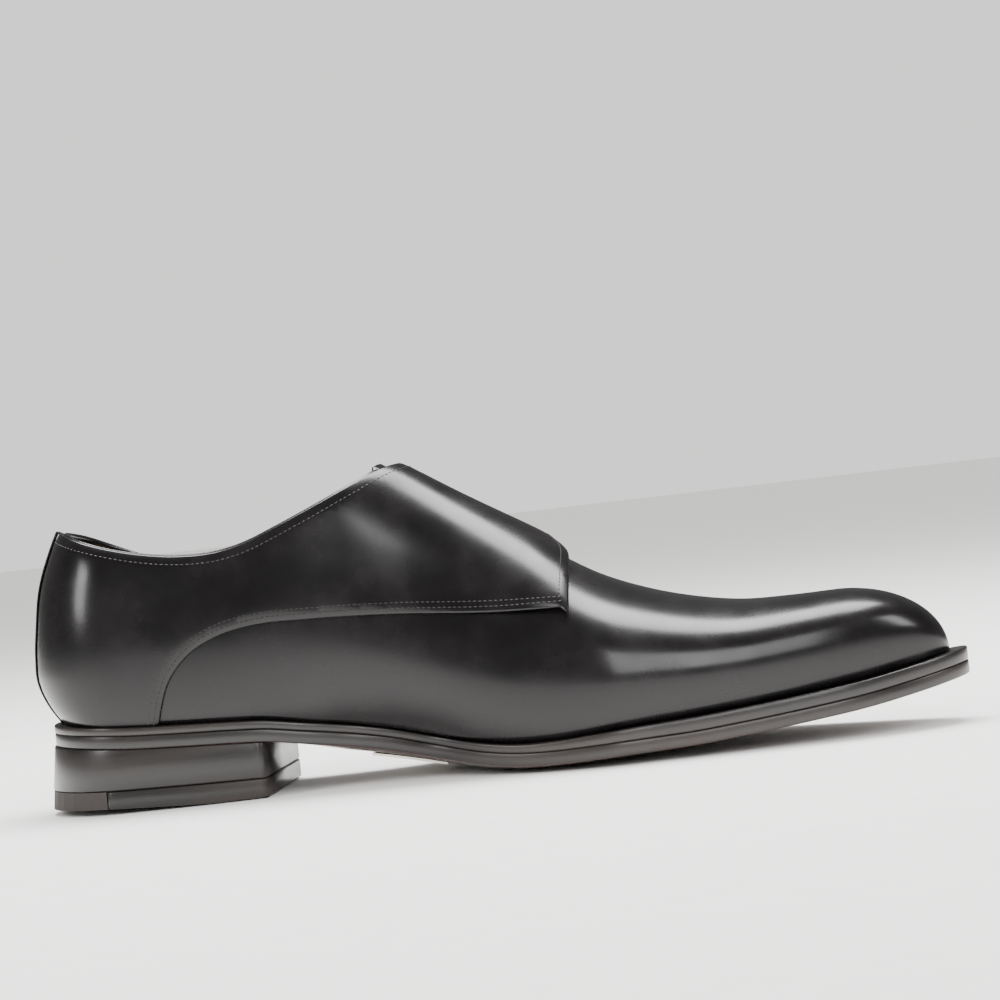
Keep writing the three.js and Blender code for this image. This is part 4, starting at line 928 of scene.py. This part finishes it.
    def back_strip(self) -> bpy.types.Object:
        """The narrow strip over the back seam."""
        last = self.last
        height = 2 * last.gap + self.quarter_thickness
        half = self.strip_width / 2
        ups, acrosses = 56, 12
        vertices, faces = [], []
        for layer, lift in ((0, height + self.strip_thickness), (1, height)):
            for i in range(ups + 1):
                for j in range(acrosses + 1):
                    y = half * (2 * j / acrosses - 1)
                    side = 1 if y > 0 else -1
                    s = abs(y) * 1.02
                    top = float(self.top_girth(np.array([s]), side, height)[0]) - 0.004
                    girth = side * (0.99 + (top - 0.99) * i / ups)
                    edge = self.strip_thickness * 0.45 * (abs(y) / half) ** 8 * (1 - 2 * layer)
                    p = last.point(last.distance(s), girth)
                    n = self.last.spot(s, girth)[1]
                    vertices.append(p + n * (lift - edge))
        row, count = acrosses + 1, (ups + 1) * (acrosses + 1)
        for i in range(ups):
            for j in range(acrosses):
                a = i * row + j
                faces.append((a, a + 1, a + row + 1, a + row))
                faces.append((count + a, count + a + row, count + a + row + 1, count + a + 1))
            for a, b in ((i * row, (i + 1) * row), ((i + 1) * row + acrosses, i * row + acrosses)):
                faces.append((a, b, count + b, count + a))
        for j in range(acrosses):
            for a, b in ((j + 1, j), (ups * row + j, ups * row + j + 1)):
                faces.append((a, b, count + b, count + a))
        return new_object("back_strip_calf", np.array(vertices), faces)


def linear(colour: str) -> tuple[float, float, float, float]:
    """An sRGB hex colour as linear RGBA."""
    parts = [int(colour[i : i + 2], 16) / 255 for i in (1, 3, 5)]
    return (*[c / 12.92 if c <= 0.04045 else ((c + 0.055) / 1.055) ** 2.4 for c in parts], 1.0)


def add_node(tree: bpy.types.NodeTree, kind: str, links: dict | None = None, **settings) -> bpy.types.Node:
    """Adds a node.

    Args:
        tree: the tree it goes into.
        kind: the node's type name.
        links: for an input's name or number, the socket that feeds it or the value it takes.
        settings: the node's own properties.

    Returns:
        The node.
    """
    node = tree.nodes.new(kind)
    for key, value in settings.items():
        setattr(node, key, value)
    for key, value in (links or {}).items():
        if isinstance(value, bpy.types.NodeSocket):
            tree.links.new(value, node.inputs[key])
        else:
            node.inputs[key].default_value = value
    return node


@dataclass(frozen=True)
class Finish:
    """A material: what it is, and the detail its surface shows."""

    name: str
    colour: str
    worn: str
    roughness: float
    rough_spread: float
    grain_mm: float
    grain_depth_mm: float
    metallic: float = 0.0
    coat: float = 0.0
    coat_roughness: float = 0.1
    specular: float = 0.5
    patch_mm: float = 18.0
    stretch: tuple[float, float, float] = (1.0, 1.0, 1.0)

    def make(self) -> bpy.types.Material:
        """Builds the material's nodes."""
        material = bpy.data.materials.new(self.name)
        material.use_nodes = True
        tree = material.node_tree
        tree.nodes.clear()
        place = add_node(tree, "ShaderNodeTexCoord")
        turned = add_node(
            tree, "ShaderNodeMapping", {"Vector": place.outputs["Object"], "Scale": self.stretch}
        )
        patches = add_node(
            tree,
            "ShaderNodeTexNoise",
            {"Vector": turned.outputs[0], "Scale": 1000 / self.patch_mm, "Detail": 4.0, "Roughness": 0.55},
        )
        grain = add_node(
            tree,
            "ShaderNodeTexNoise",
            {"Vector": turned.outputs[0], "Scale": 1000 / self.grain_mm, "Detail": 3.0, "Roughness": 0.6},
        )
        blend = add_node(
            tree,
            "ShaderNodeMapRange",
            {"Value": patches.outputs["Fac"], "From Min": 0.38, "From Max": 0.7},
            interpolation_type="SMOOTHSTEP",
        )
        colour = add_node(
            tree,
            "ShaderNodeMix",
            {0: blend.outputs[0], 6: linear(self.colour), 7: linear(self.worn)},
            data_type="RGBA",
        )
        rough = add_node(
            tree,
            "ShaderNodeMapRange",
            {
                "Value": patches.outputs["Fac"],
                "From Min": 0.3,
                "From Max": 0.75,
                "To Min": self.roughness - self.rough_spread,
                "To Max": self.roughness + self.rough_spread,
            },
        )
        bump = add_node(
            tree,
            "ShaderNodeBump",
            {"Height": grain.outputs["Fac"], "Distance": self.grain_depth_mm * MM, "Strength": 1.0},
        )
        shader = add_node(
            tree,
            "ShaderNodeBsdfPrincipled",
            {
                "Base Color": colour.outputs[2],
                "Roughness": rough.outputs[0],
                "Normal": bump.outputs[0],
                "Metallic": self.metallic,
                "Coat Weight": self.coat,
                "Coat Roughness": self.coat_roughness,
            },
        )
        if not self.metallic:
            shader.inputs["Specular IOR Level"].default_value = self.specular
        add_node(tree, "ShaderNodeOutputMaterial", {"Surface": shader.outputs[0]})
        return material


# Box calf, glazed and waxed: near black with a warm cast, and soft long highlights.
CALF = Finish(
    "polished_box_calf",
    "#0c0a0b",
    "#131011",
    0.27,
    0.05,
    0.9,
    0.008,
    coat=0.12,
    coat_roughness=0.16,
    specular=0.38,
)
# The same leather where it is cut, inked and waxed: duller, with fine lines along it.
EDGE = Finish(
    "inked_edge_leather",
    "#141110",
    "#2a211d",
    0.4,
    0.1,
    0.7,
    0.03,
    coat=0.3,
    coat_roughness=0.2,
    stretch=(0.12, 0.5, 2.2),
)
# Oak bark tanned bends, stained dark maroon and burnished: glossy, softly mottled.
SOLE = Finish(
    "burnished_sole_leather",
    "#2c1512",
    "#452420",
    0.24,
    0.09,
    1.4,
    0.02,
    coat=0.5,
    coat_roughness=0.12,
    patch_mm=26,
)
# Vegetable tanned calf lining: dull warm tan.
LINING = Finish("tan_calf_lining", "#b08a66", "#9c7654", 0.62, 0.08, 0.8, 0.03, patch_mm=14)
# Moulded rubber of the top piece: dull grey brown, fine grit.
RUBBER = Finish("moulded_heel_rubber", "#2d2724", "#393230", 0.62, 0.08, 0.6, 0.03)
# Nickel plated brass, polished: bright, with faint hairlines.
NICKEL = Finish("polished_nickel_plate", "#cfcac1", "#b7b1a6", 0.13, 0.05, 0.5, 0.002, metallic=1.0)
# Waxed linen thread: black, a little glossier than the leather under it.
THREAD = Finish("waxed_linen_thread", "#1b1817", "#2b2725", 0.4, 0.05, 0.3, 0.02)


def paint_by_side(obj: bpy.types.Object, edge: bpy.types.Material, under: bpy.types.Material) -> None:
    """Gives a layer one finish on its edge and top, and another on its underside."""
    dress(obj, edge, under)
    for face in obj.data.polygons:
        face.material_index = 1 if face.normal.z < -0.75 else 0


def dress(obj: bpy.types.Object, *materials: bpy.types.Material) -> bpy.types.Object:
    """Gives a piece its materials."""
    obj.data.materials.clear()
    for material in materials:
        obj.data.materials.append(material)
    return obj


@dataclass
class Studio:
    """The pale floor, the soft lights and the photograph's camera."""

    azimuth: float = 6.0
    elevation: float = 0.5
    roll: float = 6.7
    depth: float = 1000.0
    focal_px: float = 2990.0
    frame_px: float = 1000.0
    heel_px: tuple[float, float] = (57.0, 811.0)
    heel_x: float = -64.0
    floor_reach: float = 6000.0
    floor_level: float = -0.4

    def camera(self) -> None:
        """Places the camera so that the heel's back foot falls on its pixel of the frame."""
        a, e, r = (math.radians(v) for v in (self.azimuth, self.elevation, self.roll))
        back = Vector((math.sin(a) * math.cos(e), -math.cos(a) * math.cos(e), math.sin(e)))
        right = Vector((math.cos(a), math.sin(a), 0.0))
        up = back.cross(right)
        right_t = math.cos(r) * right - math.sin(r) * up
        up_t = math.sin(r) * right + math.cos(r) * up
        half = self.frame_px / 2
        place = Vector((self.heel_x, 0, 0)) + back * self.depth
        place -= right_t * ((self.heel_px[0] - half) / self.focal_px * self.depth)
        place -= up_t * ((half - self.heel_px[1]) / self.focal_px * self.depth)
        data = bpy.data.cameras.new("camera")
        data.sensor_width = 36.0
        data.lens = self.focal_px / self.frame_px * 36.0
        data.clip_start, data.clip_end = 0.01, 50.0
        obj = bpy.data.objects.new("camera", data)
        turn = Matrix((right_t, up_t, back)).transposed()
        obj.matrix_world = Matrix.Translation(place * MM) @ turn.to_4x4()
        bpy.context.scene.collection.objects.link(obj)
        bpy.context.scene.camera = obj

    def light(self, name: str, at: tuple, aim: tuple, size: tuple, power: float) -> None:
        """A soft rectangular light, placed and aimed in metres."""
        data = bpy.data.lights.new(name, "AREA")
        data.shape = "RECTANGLE"
        data.size, data.size_y = size
        data.energy = power
        obj = bpy.data.objects.new(name, data)
        obj.location = at
        obj.rotation_euler = (Vector(aim) - Vector(at)).to_track_quat("-Z", "Y").to_euler()
        bpy.context.scene.collection.objects.link(obj)

    def build(self) -> None:
        """Makes the floor, the surroundings and the lights."""
        reach, level = self.floor_reach, self.floor_level
        corners = [(-reach, -reach), (reach, -reach), (reach, reach), (-reach, reach)]
        floor = new_object("floor", np.array([(x, y, level) for x, y in corners]), [(0, 1, 2, 3)])
        pale = Finish("pale_studio_floor", "#f4f3f1", "#f1f0ee", 0.7, 0.05, 3.0, 0.01, specular=0.2)
        dress(floor, pale.make())
        world = bpy.data.worlds.new("studio")
        bpy.context.scene.world = world
        world.use_nodes = True
        tree = world.node_tree
        path = add_node(tree, "ShaderNodeLightPath")
        strength = add_node(
            tree,
            "ShaderNodeMapRange",
            {"Value": path.outputs["Is Glossy Ray"], "To Min": 1.25, "To Max": 0.16},
        )
        tree.nodes["Background"].inputs[0].default_value = linear("#fdfdfc")
        tree.links.new(strength.outputs[0], tree.nodes["Background"].inputs[1])
        self.light("key", (0.1, 0.25, 0.95), (0.06, 0.0, 0.03), (0.9, 0.45), 26)
        self.light("front", (0.35, -1.3, 0.75), (0.08, 0.0, 0.04), (0.35, 0.9), 9)
        self.light("heel", (-0.75, -0.6, 0.55), (-0.05, 0.0, 0.05), (0.25, 0.5), 5)
        self.light("toe", (1.0, -0.35, 0.6), (0.2, 0.0, 0.03), (0.25, 0.5), 4)
        self.camera()


class Dressing(Enum):
    """How a layer of the bottom is finished."""

    EDGE = "inked all over"
    BURNISHED = "inked edge over a burnished underside"


@dataclass
class Bottom:
    """The welt, the outsole, the stacked heel and the leather front of its top piece; its rubber and the
    plate on the waist are left to the CAD part.
    """

    last: Last
    top_piece_thickness: float = 6.1
    heel_bevel: float = 1.7
    bevel_length: float = 22.0
    rubber_medial: float = 25.0
    rubber_lateral: float = 42.0
    edge_round: float = 0.55

    def half_widths(self, distance: Array, back: Array | float) -> tuple[Array, Array, Array]:
        """Half widths of the sole's outline to either side, and its middle line."""
        last = self.last
        share = distance / last.sole_length
        plan = round_off(distance, last.sole_length - last.toe_run, last.toe_run)
        plan = plan * round_off(last.heel_radius + back - distance, 0, last.heel_radius)
        medial = (STATIONS["medialFoot"](share) + WELT_MARGIN["medial"](share)) * last.ball_width * plan
        lateral = (STATIONS["lateralFoot"](share) + WELT_MARGIN["lateral"](share)) * last.ball_width * plan
        return medial, lateral, SWING(share) * last.ball_width

    def outline(self, back: float, end: float, steps: int = 120) -> tuple[Array, Array]:
        """Distances and sides (-1 or 1) round the outline: up the inner side, back down the outer."""
        last = self.last
        toe_start = last.sole_length - last.toe_run
        heel = back + last.heel_radius * (1 - np.cos(np.linspace(0, 1, 40) * np.pi / 2))
        if end > toe_start:
            middle = np.linspace(back + last.heel_radius, toe_start, steps)[1:-1]
            toe = toe_start + last.toe_run * np.sin(np.linspace(0, 1, 56) * np.pi / 2)
            distance = np.r_[heel, middle, toe]
        else:
            distance = np.r_[heel, np.linspace(back + last.heel_radius, end, 24)[1:]]
        sides = np.r_[distance * 0 - 1, distance[::-1] * 0 + 1]
        return np.r_[distance, distance[::-1]], sides

    def slab(
        self,
        name: str,
        low: Callable[[Array, Array], Array],
        high: Callable[[Array, Array], Array],
        backs: tuple[float, float],
        end: float,
        hollow: float = 0.0,
        start: Callable[[Array], Array] | None = None,
    ) -> bpy.types.Object:
        """A layer of the sole's outline between two heights, with eased edges.

        Args:
            name: the piece's name.
            low: height of its foot at a distance and across.
            high: height of its top.
            backs: how far in front of the heel's foot its own foot and top begin.
            end: the distance at which it stops.
            hollow: how far its front curves back in the middle.
            start: how far the piece begins past its back, at a place across, in mm.
        """
        r = self.edge_round
        profile = [(0.0, 0.0), (0.35, 0.0), (0.7, 0.0), (0.9, 0.0)]
        profile += [(1.0 - 1e-9, k) for k in (-3, -2, -1, 1, 2, 3)]
        rings = []
        for level, (fill, corner) in enumerate(profile + [(0.9, 0), (0.7, 0), (0.35, 0), (0.0, 0)]):
            top = level >= len(profile) or corner > 0
            back = backs[1] if top else backs[0]
            distance, sides = self.outline(back, end)
            medial, lateral, middle = self.half_widths(distance, back)
            width = np.where(sides < 0, medial, lateral)
            inset, rise = 0.0, 0.0
            if corner:
                turn = (3 - abs(corner)) * math.pi / 4
                inset, rise = r * (1 - math.sin(turn)), r * (1 - math.cos(turn))
            plane = np.stack([distance, middle + sides * width], -1)
            tangent = unit(np.roll(plane, -1, 0) - np.roll(plane, 1, 0))
            inward = np.stack([-tangent[:, 1], tangent[:, 0]], -1)
            centre = np.stack([np.clip(distance, back + 14, min(end, 288) - 2), middle], -1)
            plane = centre + (plane - centre) * fill + inward * inset
            if hollow:
                span = np.clip(1 - (plane[:, 1] / 34) ** 2, 0, 1)
                squeeze = np.clip((plane[:, 0] - 30) / (end - 30), 0, 1)
                plane[:, 0] -= hollow * span * squeeze
            if start is not None:
                first = start(plane[:, 1])
                plane[:, 0] = np.maximum(plane[:, 0], first)
            across = np.clip((plane[:, 1] - middle) / np.maximum(width, 1), -1, 1)
            z = (high if top else low)(plane[:, 0], across) + (-rise if top else rise)
            x = plane[:, 0] + self.last.heel_back
            rings.append(np.stack([x, plane[:, 1], z], -1))
        count = len(rings[0])
        faces = []
        for i in range(len(rings) - 1):
            for j in range(count):
                k = (j + 1) % count
                faces.append((i * count + j, i * count + k, (i + 1) * count + k, (i + 1) * count + j))
        return new_object(name, np.vstack(rings), faces)

    def build(self) -> list[tuple[bpy.types.Object, Dressing, str, tuple[str, ...]]]:
        """Builds the pieces.

        Returns:
            Rows of the piece, its finish, its record slot and the nodes it stands for.
        """
        last = self.last
        flare = last.heel_flare
        full = last.sole_length
        total = last.heel_height + last.outsole_thickness
        gap = last.gap

        def top_piece(d: Array, a: Array) -> Array:
            """Top of the heel's top piece."""
            return self.top_piece_thickness + self.heel_bevel * (1 - d / last.heel_length)

        def foot(d: Array, a: Array) -> Array:
            """The heel's foot, bevelled at its back."""
            rest = last.heel_length - last.rest_length
            return self.heel_bevel * np.clip((rest - d) / (rest - self.bevel_length), 0, 1)

        welt = self.slab(
            "welt_leather",
            lambda d, a: last.welt_foot(d) - gap,
            lambda d, a: last.welt_top(d),
            (flare, flare),
            full,
        )
        outsole = self.slab(
            "outsole_leather",
            last.underside,
            lambda d, a: last.sole_edge(d) + last.outsole_thickness,
            (flare, flare),
            full,
        )
        front = last.heel_length + 1
        stack = self.slab(
            "heel_stack",
            lambda d, a: top_piece(d, a) + 0.1,
            lambda d, a: last.sole_edge(d) - 0.02,
            (flare * 7.5 / total, flare * 22 / total),
            front,
            last.breast_hollow + 1,
        )
        slope = (self.rubber_lateral - self.rubber_medial) / (2 * last.heel_radius)

        def joint(y: Array) -> Array:
            """Where the rubber ends, slanting over the heel."""
            return self.rubber_medial + slope * (y + last.heel_radius)

        leather = self.slab(
            "top_piece_front",
            foot,
            top_piece,
            (flare * 0.05, flare * 6.5 / total),
            front,
            last.breast_hollow + 1,
            lambda y: joint(y) + gap,
        )
        return [
            (welt, Dressing.EDGE, "edge_leather", ("welt",)),
            (outsole, Dressing.BURNISHED, "sole_leather", ("outsole",)),
            (stack, Dressing.EDGE, "edge_leather", ("heel_lift_1", "heel_lift_2", "heel_lift_3")),
            (leather, Dressing.EDGE, "edge_leather", ("top_piece_leather",)),
        ]


@dataclass
class Stitching:
    """Rows of stitches, made with Geometry Nodes along the cut edges they follow."""

    uppers: Uppers
    pitch: float = 1.7
    length: float = 1.25
    radius: float = 0.19

    def tree(self, material: bpy.types.Material) -> bpy.types.NodeTree:
        """The tree that sets a stitch at each pitch of a line."""
        tree = bpy.data.node_groups.new("stitch_row", "GeometryNodeTree")
        for name, kind, way in (
            ("Line", "NodeSocketGeometry", "INPUT"),
            ("Pitch", "NodeSocketFloat", "INPUT"),
            ("Length", "NodeSocketFloat", "INPUT"),
            ("Radius", "NodeSocketFloat", "INPUT"),
            ("Stitches", "NodeSocketGeometry", "OUTPUT"),
        ):
            tree.interface.new_socket(name, in_out=way, socket_type=kind)
        given = add_node(tree, "NodeGroupInput")
        curve = add_node(tree, "GeometryNodeMeshToCurve", {0: given.outputs["Line"]})
        even = add_node(
            tree,
            "GeometryNodeResampleCurve",
            {"Curve": curve.outputs[0], "Length": given.outputs["Pitch"]},
            mode="LENGTH",
        )
        tangent = add_node(tree, "GeometryNodeInputTangent")
        turn = add_node(tree, "FunctionNodeAlignRotationToVector", {"Vector": tangent.outputs[0]}, axis="Z")
        size = add_node(
            tree,
            "ShaderNodeCombineXYZ",
            {"X": given.outputs["Radius"], "Y": given.outputs["Radius"], "Z": given.outputs["Length"]},
        )
        bead = add_node(tree, "GeometryNodeMeshUVSphere", {"Segments": 8, "Rings": 6, "Radius": 1.0})
        shaped = add_node(
            tree, "GeometryNodeTransform", {"Geometry": bead.outputs[0], "Scale": size.outputs[0]}
        )
        placed = add_node(
            tree,
            "GeometryNodeInstanceOnPoints",
            {"Points": even.outputs[0], "Instance": shaped.outputs[0], "Rotation": turn.outputs[0]},
        )
        real = add_node(tree, "GeometryNodeRealizeInstances", {0: placed.outputs[0]})
        painted = add_node(
            tree, "GeometryNodeSetMaterial", {"Geometry": real.outputs[0], "Material": material}
        )
        add_node(tree, "NodeGroupOutput", {0: painted.outputs[0]})
        return tree

    def row(
        self, name: str, tree: bpy.types.NodeTree, lines: list[Array], material: bpy.types.Material
    ) -> bpy.types.Object:
        """One piece of stitches over some lines, as a plain mesh.

        Args:
            name: the piece's name.
            tree: the tree that sets the stitches.
            lines: the rows' lines, in mm.
            material: the thread.

        Returns:
            The object, at the origin.
        """
        vertices, edges, start = [], [], 0
        for line in lines:
            vertices += (line * MM).tolist()
            edges += [(start + i, start + i + 1) for i in range(len(line) - 1)]
            start += len(line)
        mesh = bpy.data.meshes.new(name + "_line")
        mesh.from_pydata(vertices, edges, [])
        carrier = bpy.data.objects.new(name + "_line", mesh)
        bpy.context.scene.collection.objects.link(carrier)
        modifier = carrier.modifiers.new("stitches", "NODES")
        modifier.node_group = tree
        sizes = {"Pitch": self.pitch, "Length": self.length / 2, "Radius": self.radius}
        for item in tree.interface.items_tree:
            if item.name in sizes:
                modifier[item.identifier] = sizes[item.name] * MM
        graph = bpy.context.evaluated_depsgraph_get()
        plain = bpy.data.meshes.new_from_object(carrier.evaluated_get(graph))
        bpy.data.objects.remove(carrier)
        plain.shade_smooth()
        obj = bpy.data.objects.new(name, plain)
        bpy.context.scene.collection.objects.link(obj)
        return dress(obj, material)

    def inset(self, rows: Array, by: float, side: int, lift: float, layer: float) -> Array:
        """A line beside an edge: rows of s and scaled girth, moved sideways over the surface and lifted."""
        s, girth = rows[:, 0], rows[:, 1] / GIRTH_SCALE
        point, normal = self.uppers.last.spot(s, girth)
        tangent = unit(np.gradient(point, axis=0))
        across = np.cross(normal, tangent) * side
        base = self.uppers.quarter_base(s, girth) if layer else np.zeros(len(s))
        line = point + across * by + normal * (base + layer + lift)[:, None]
        return resampled(smoothed(line, 2), 0.5)

    def build(self, material: bpy.types.Material) -> list[bpy.types.Object]:
        """All rows: along the seam, the flap's front, the collar and the straps."""
        tree, parts = self.tree(material), self.uppers.parts
        layer = self.uppers.quarter_thickness
        side = self.side(parts)
        seam = [self.inset(parts["seam"], by, side, -0.06, layer) for by in (1.2, 3.0)]
        front = [self.inset(parts["front"][3:], 2.6, side, -0.04, layer)]
        collar = [self.inset(parts["collar"], 2.8, side, -0.04, layer)]
        straps = []
        for strap in STRAPS:
            rows = parts["strap_" + strap.name]
            straps.append(self.inset(rows, 1.6, side, 0.0, layer))
        s = np.linspace(2, self.uppers.last.measure(COLLAR_PEAK * self.uppers.last.sole_length) - 3, 120)
        outer = np.stack([s, self.uppers.top_girth(s, 1) * GIRTH_SCALE], -1)
        lateral = [self.inset(outer, 2.8, 1, -0.02, 0.0)]
        names = ("seam", "flap_front", "collar_inner", "straps", "collar_outer")
        return [
            self.row("stitches_" + name, tree, lines, material)
            for name, lines in zip(names, (seam, front, collar, straps, lateral))
        ]

    def side(self, parts: dict[str, Array]) -> int:
        """Which way is inwards: the seam's line has the quarter above it."""
        rows = parts["seam"]
        point, normal = self.uppers.last.spot(rows[:, 0], rows[:, 1] / GIRTH_SCALE)
        across = np.cross(normal, unit(np.gradient(point, axis=0)))
        return 1 if across[len(rows) // 2, 2] > 0 else -1


def main() -> None:
    """Builds each sub-assembly in order and reports its pieces."""
    logging.basicConfig(level=logging.INFO, format="%(message)s")
    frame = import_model()
    last = Last()
    calf, edge, sole = CALF.make(), EDGE.make(), SOLE.make()
    lining, rubber, nickel = LINING.make(), RUBBER.make(), NICKEL.make()
    finishes = {"insole": lining, "top_piece_rubber": rubber, "waist_plate": nickel}
    for name, node in frame["nodes"].items():
        material = finishes.get(name)
        if material is None:
            material = nickel if name.startswith(("buckle_frame", "buckle_prong")) else edge
            material = calf if name.startswith("buckle_tab") else material
        dress(node, material)
    uppers = Uppers(last)
    jobs = (
        (uppers.upper, "upper"),
        (uppers.quarter, "strap_quarter"),
        (uppers.tongue, "tongue"),
        (uppers.back_strip, "back_strip"),
    )
    for build, node in jobs:
        piece = dress(build(), calf, lining)
        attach(piece, "root")
        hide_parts(node)
        log.info("%s: %d faces", piece.name, len(piece.data.polygons))
    for piece, dressing, slot, nodes in Bottom(last).build():
        if dressing is Dressing.BURNISHED:
            paint_by_side(piece, edge, sole)
        else:
            dress(piece, edge)
        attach(piece, "root")
        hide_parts(*nodes)
        log.info("%s: %d faces", piece.name, len(piece.data.polygons))
    for piece in Stitching(uppers).build(THREAD.make()):
        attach(piece, "root")
        log.info("%s: %d faces", piece.name, len(piece.data.polygons))
    Studio().build()


if __name__ == "__main__":
    main()
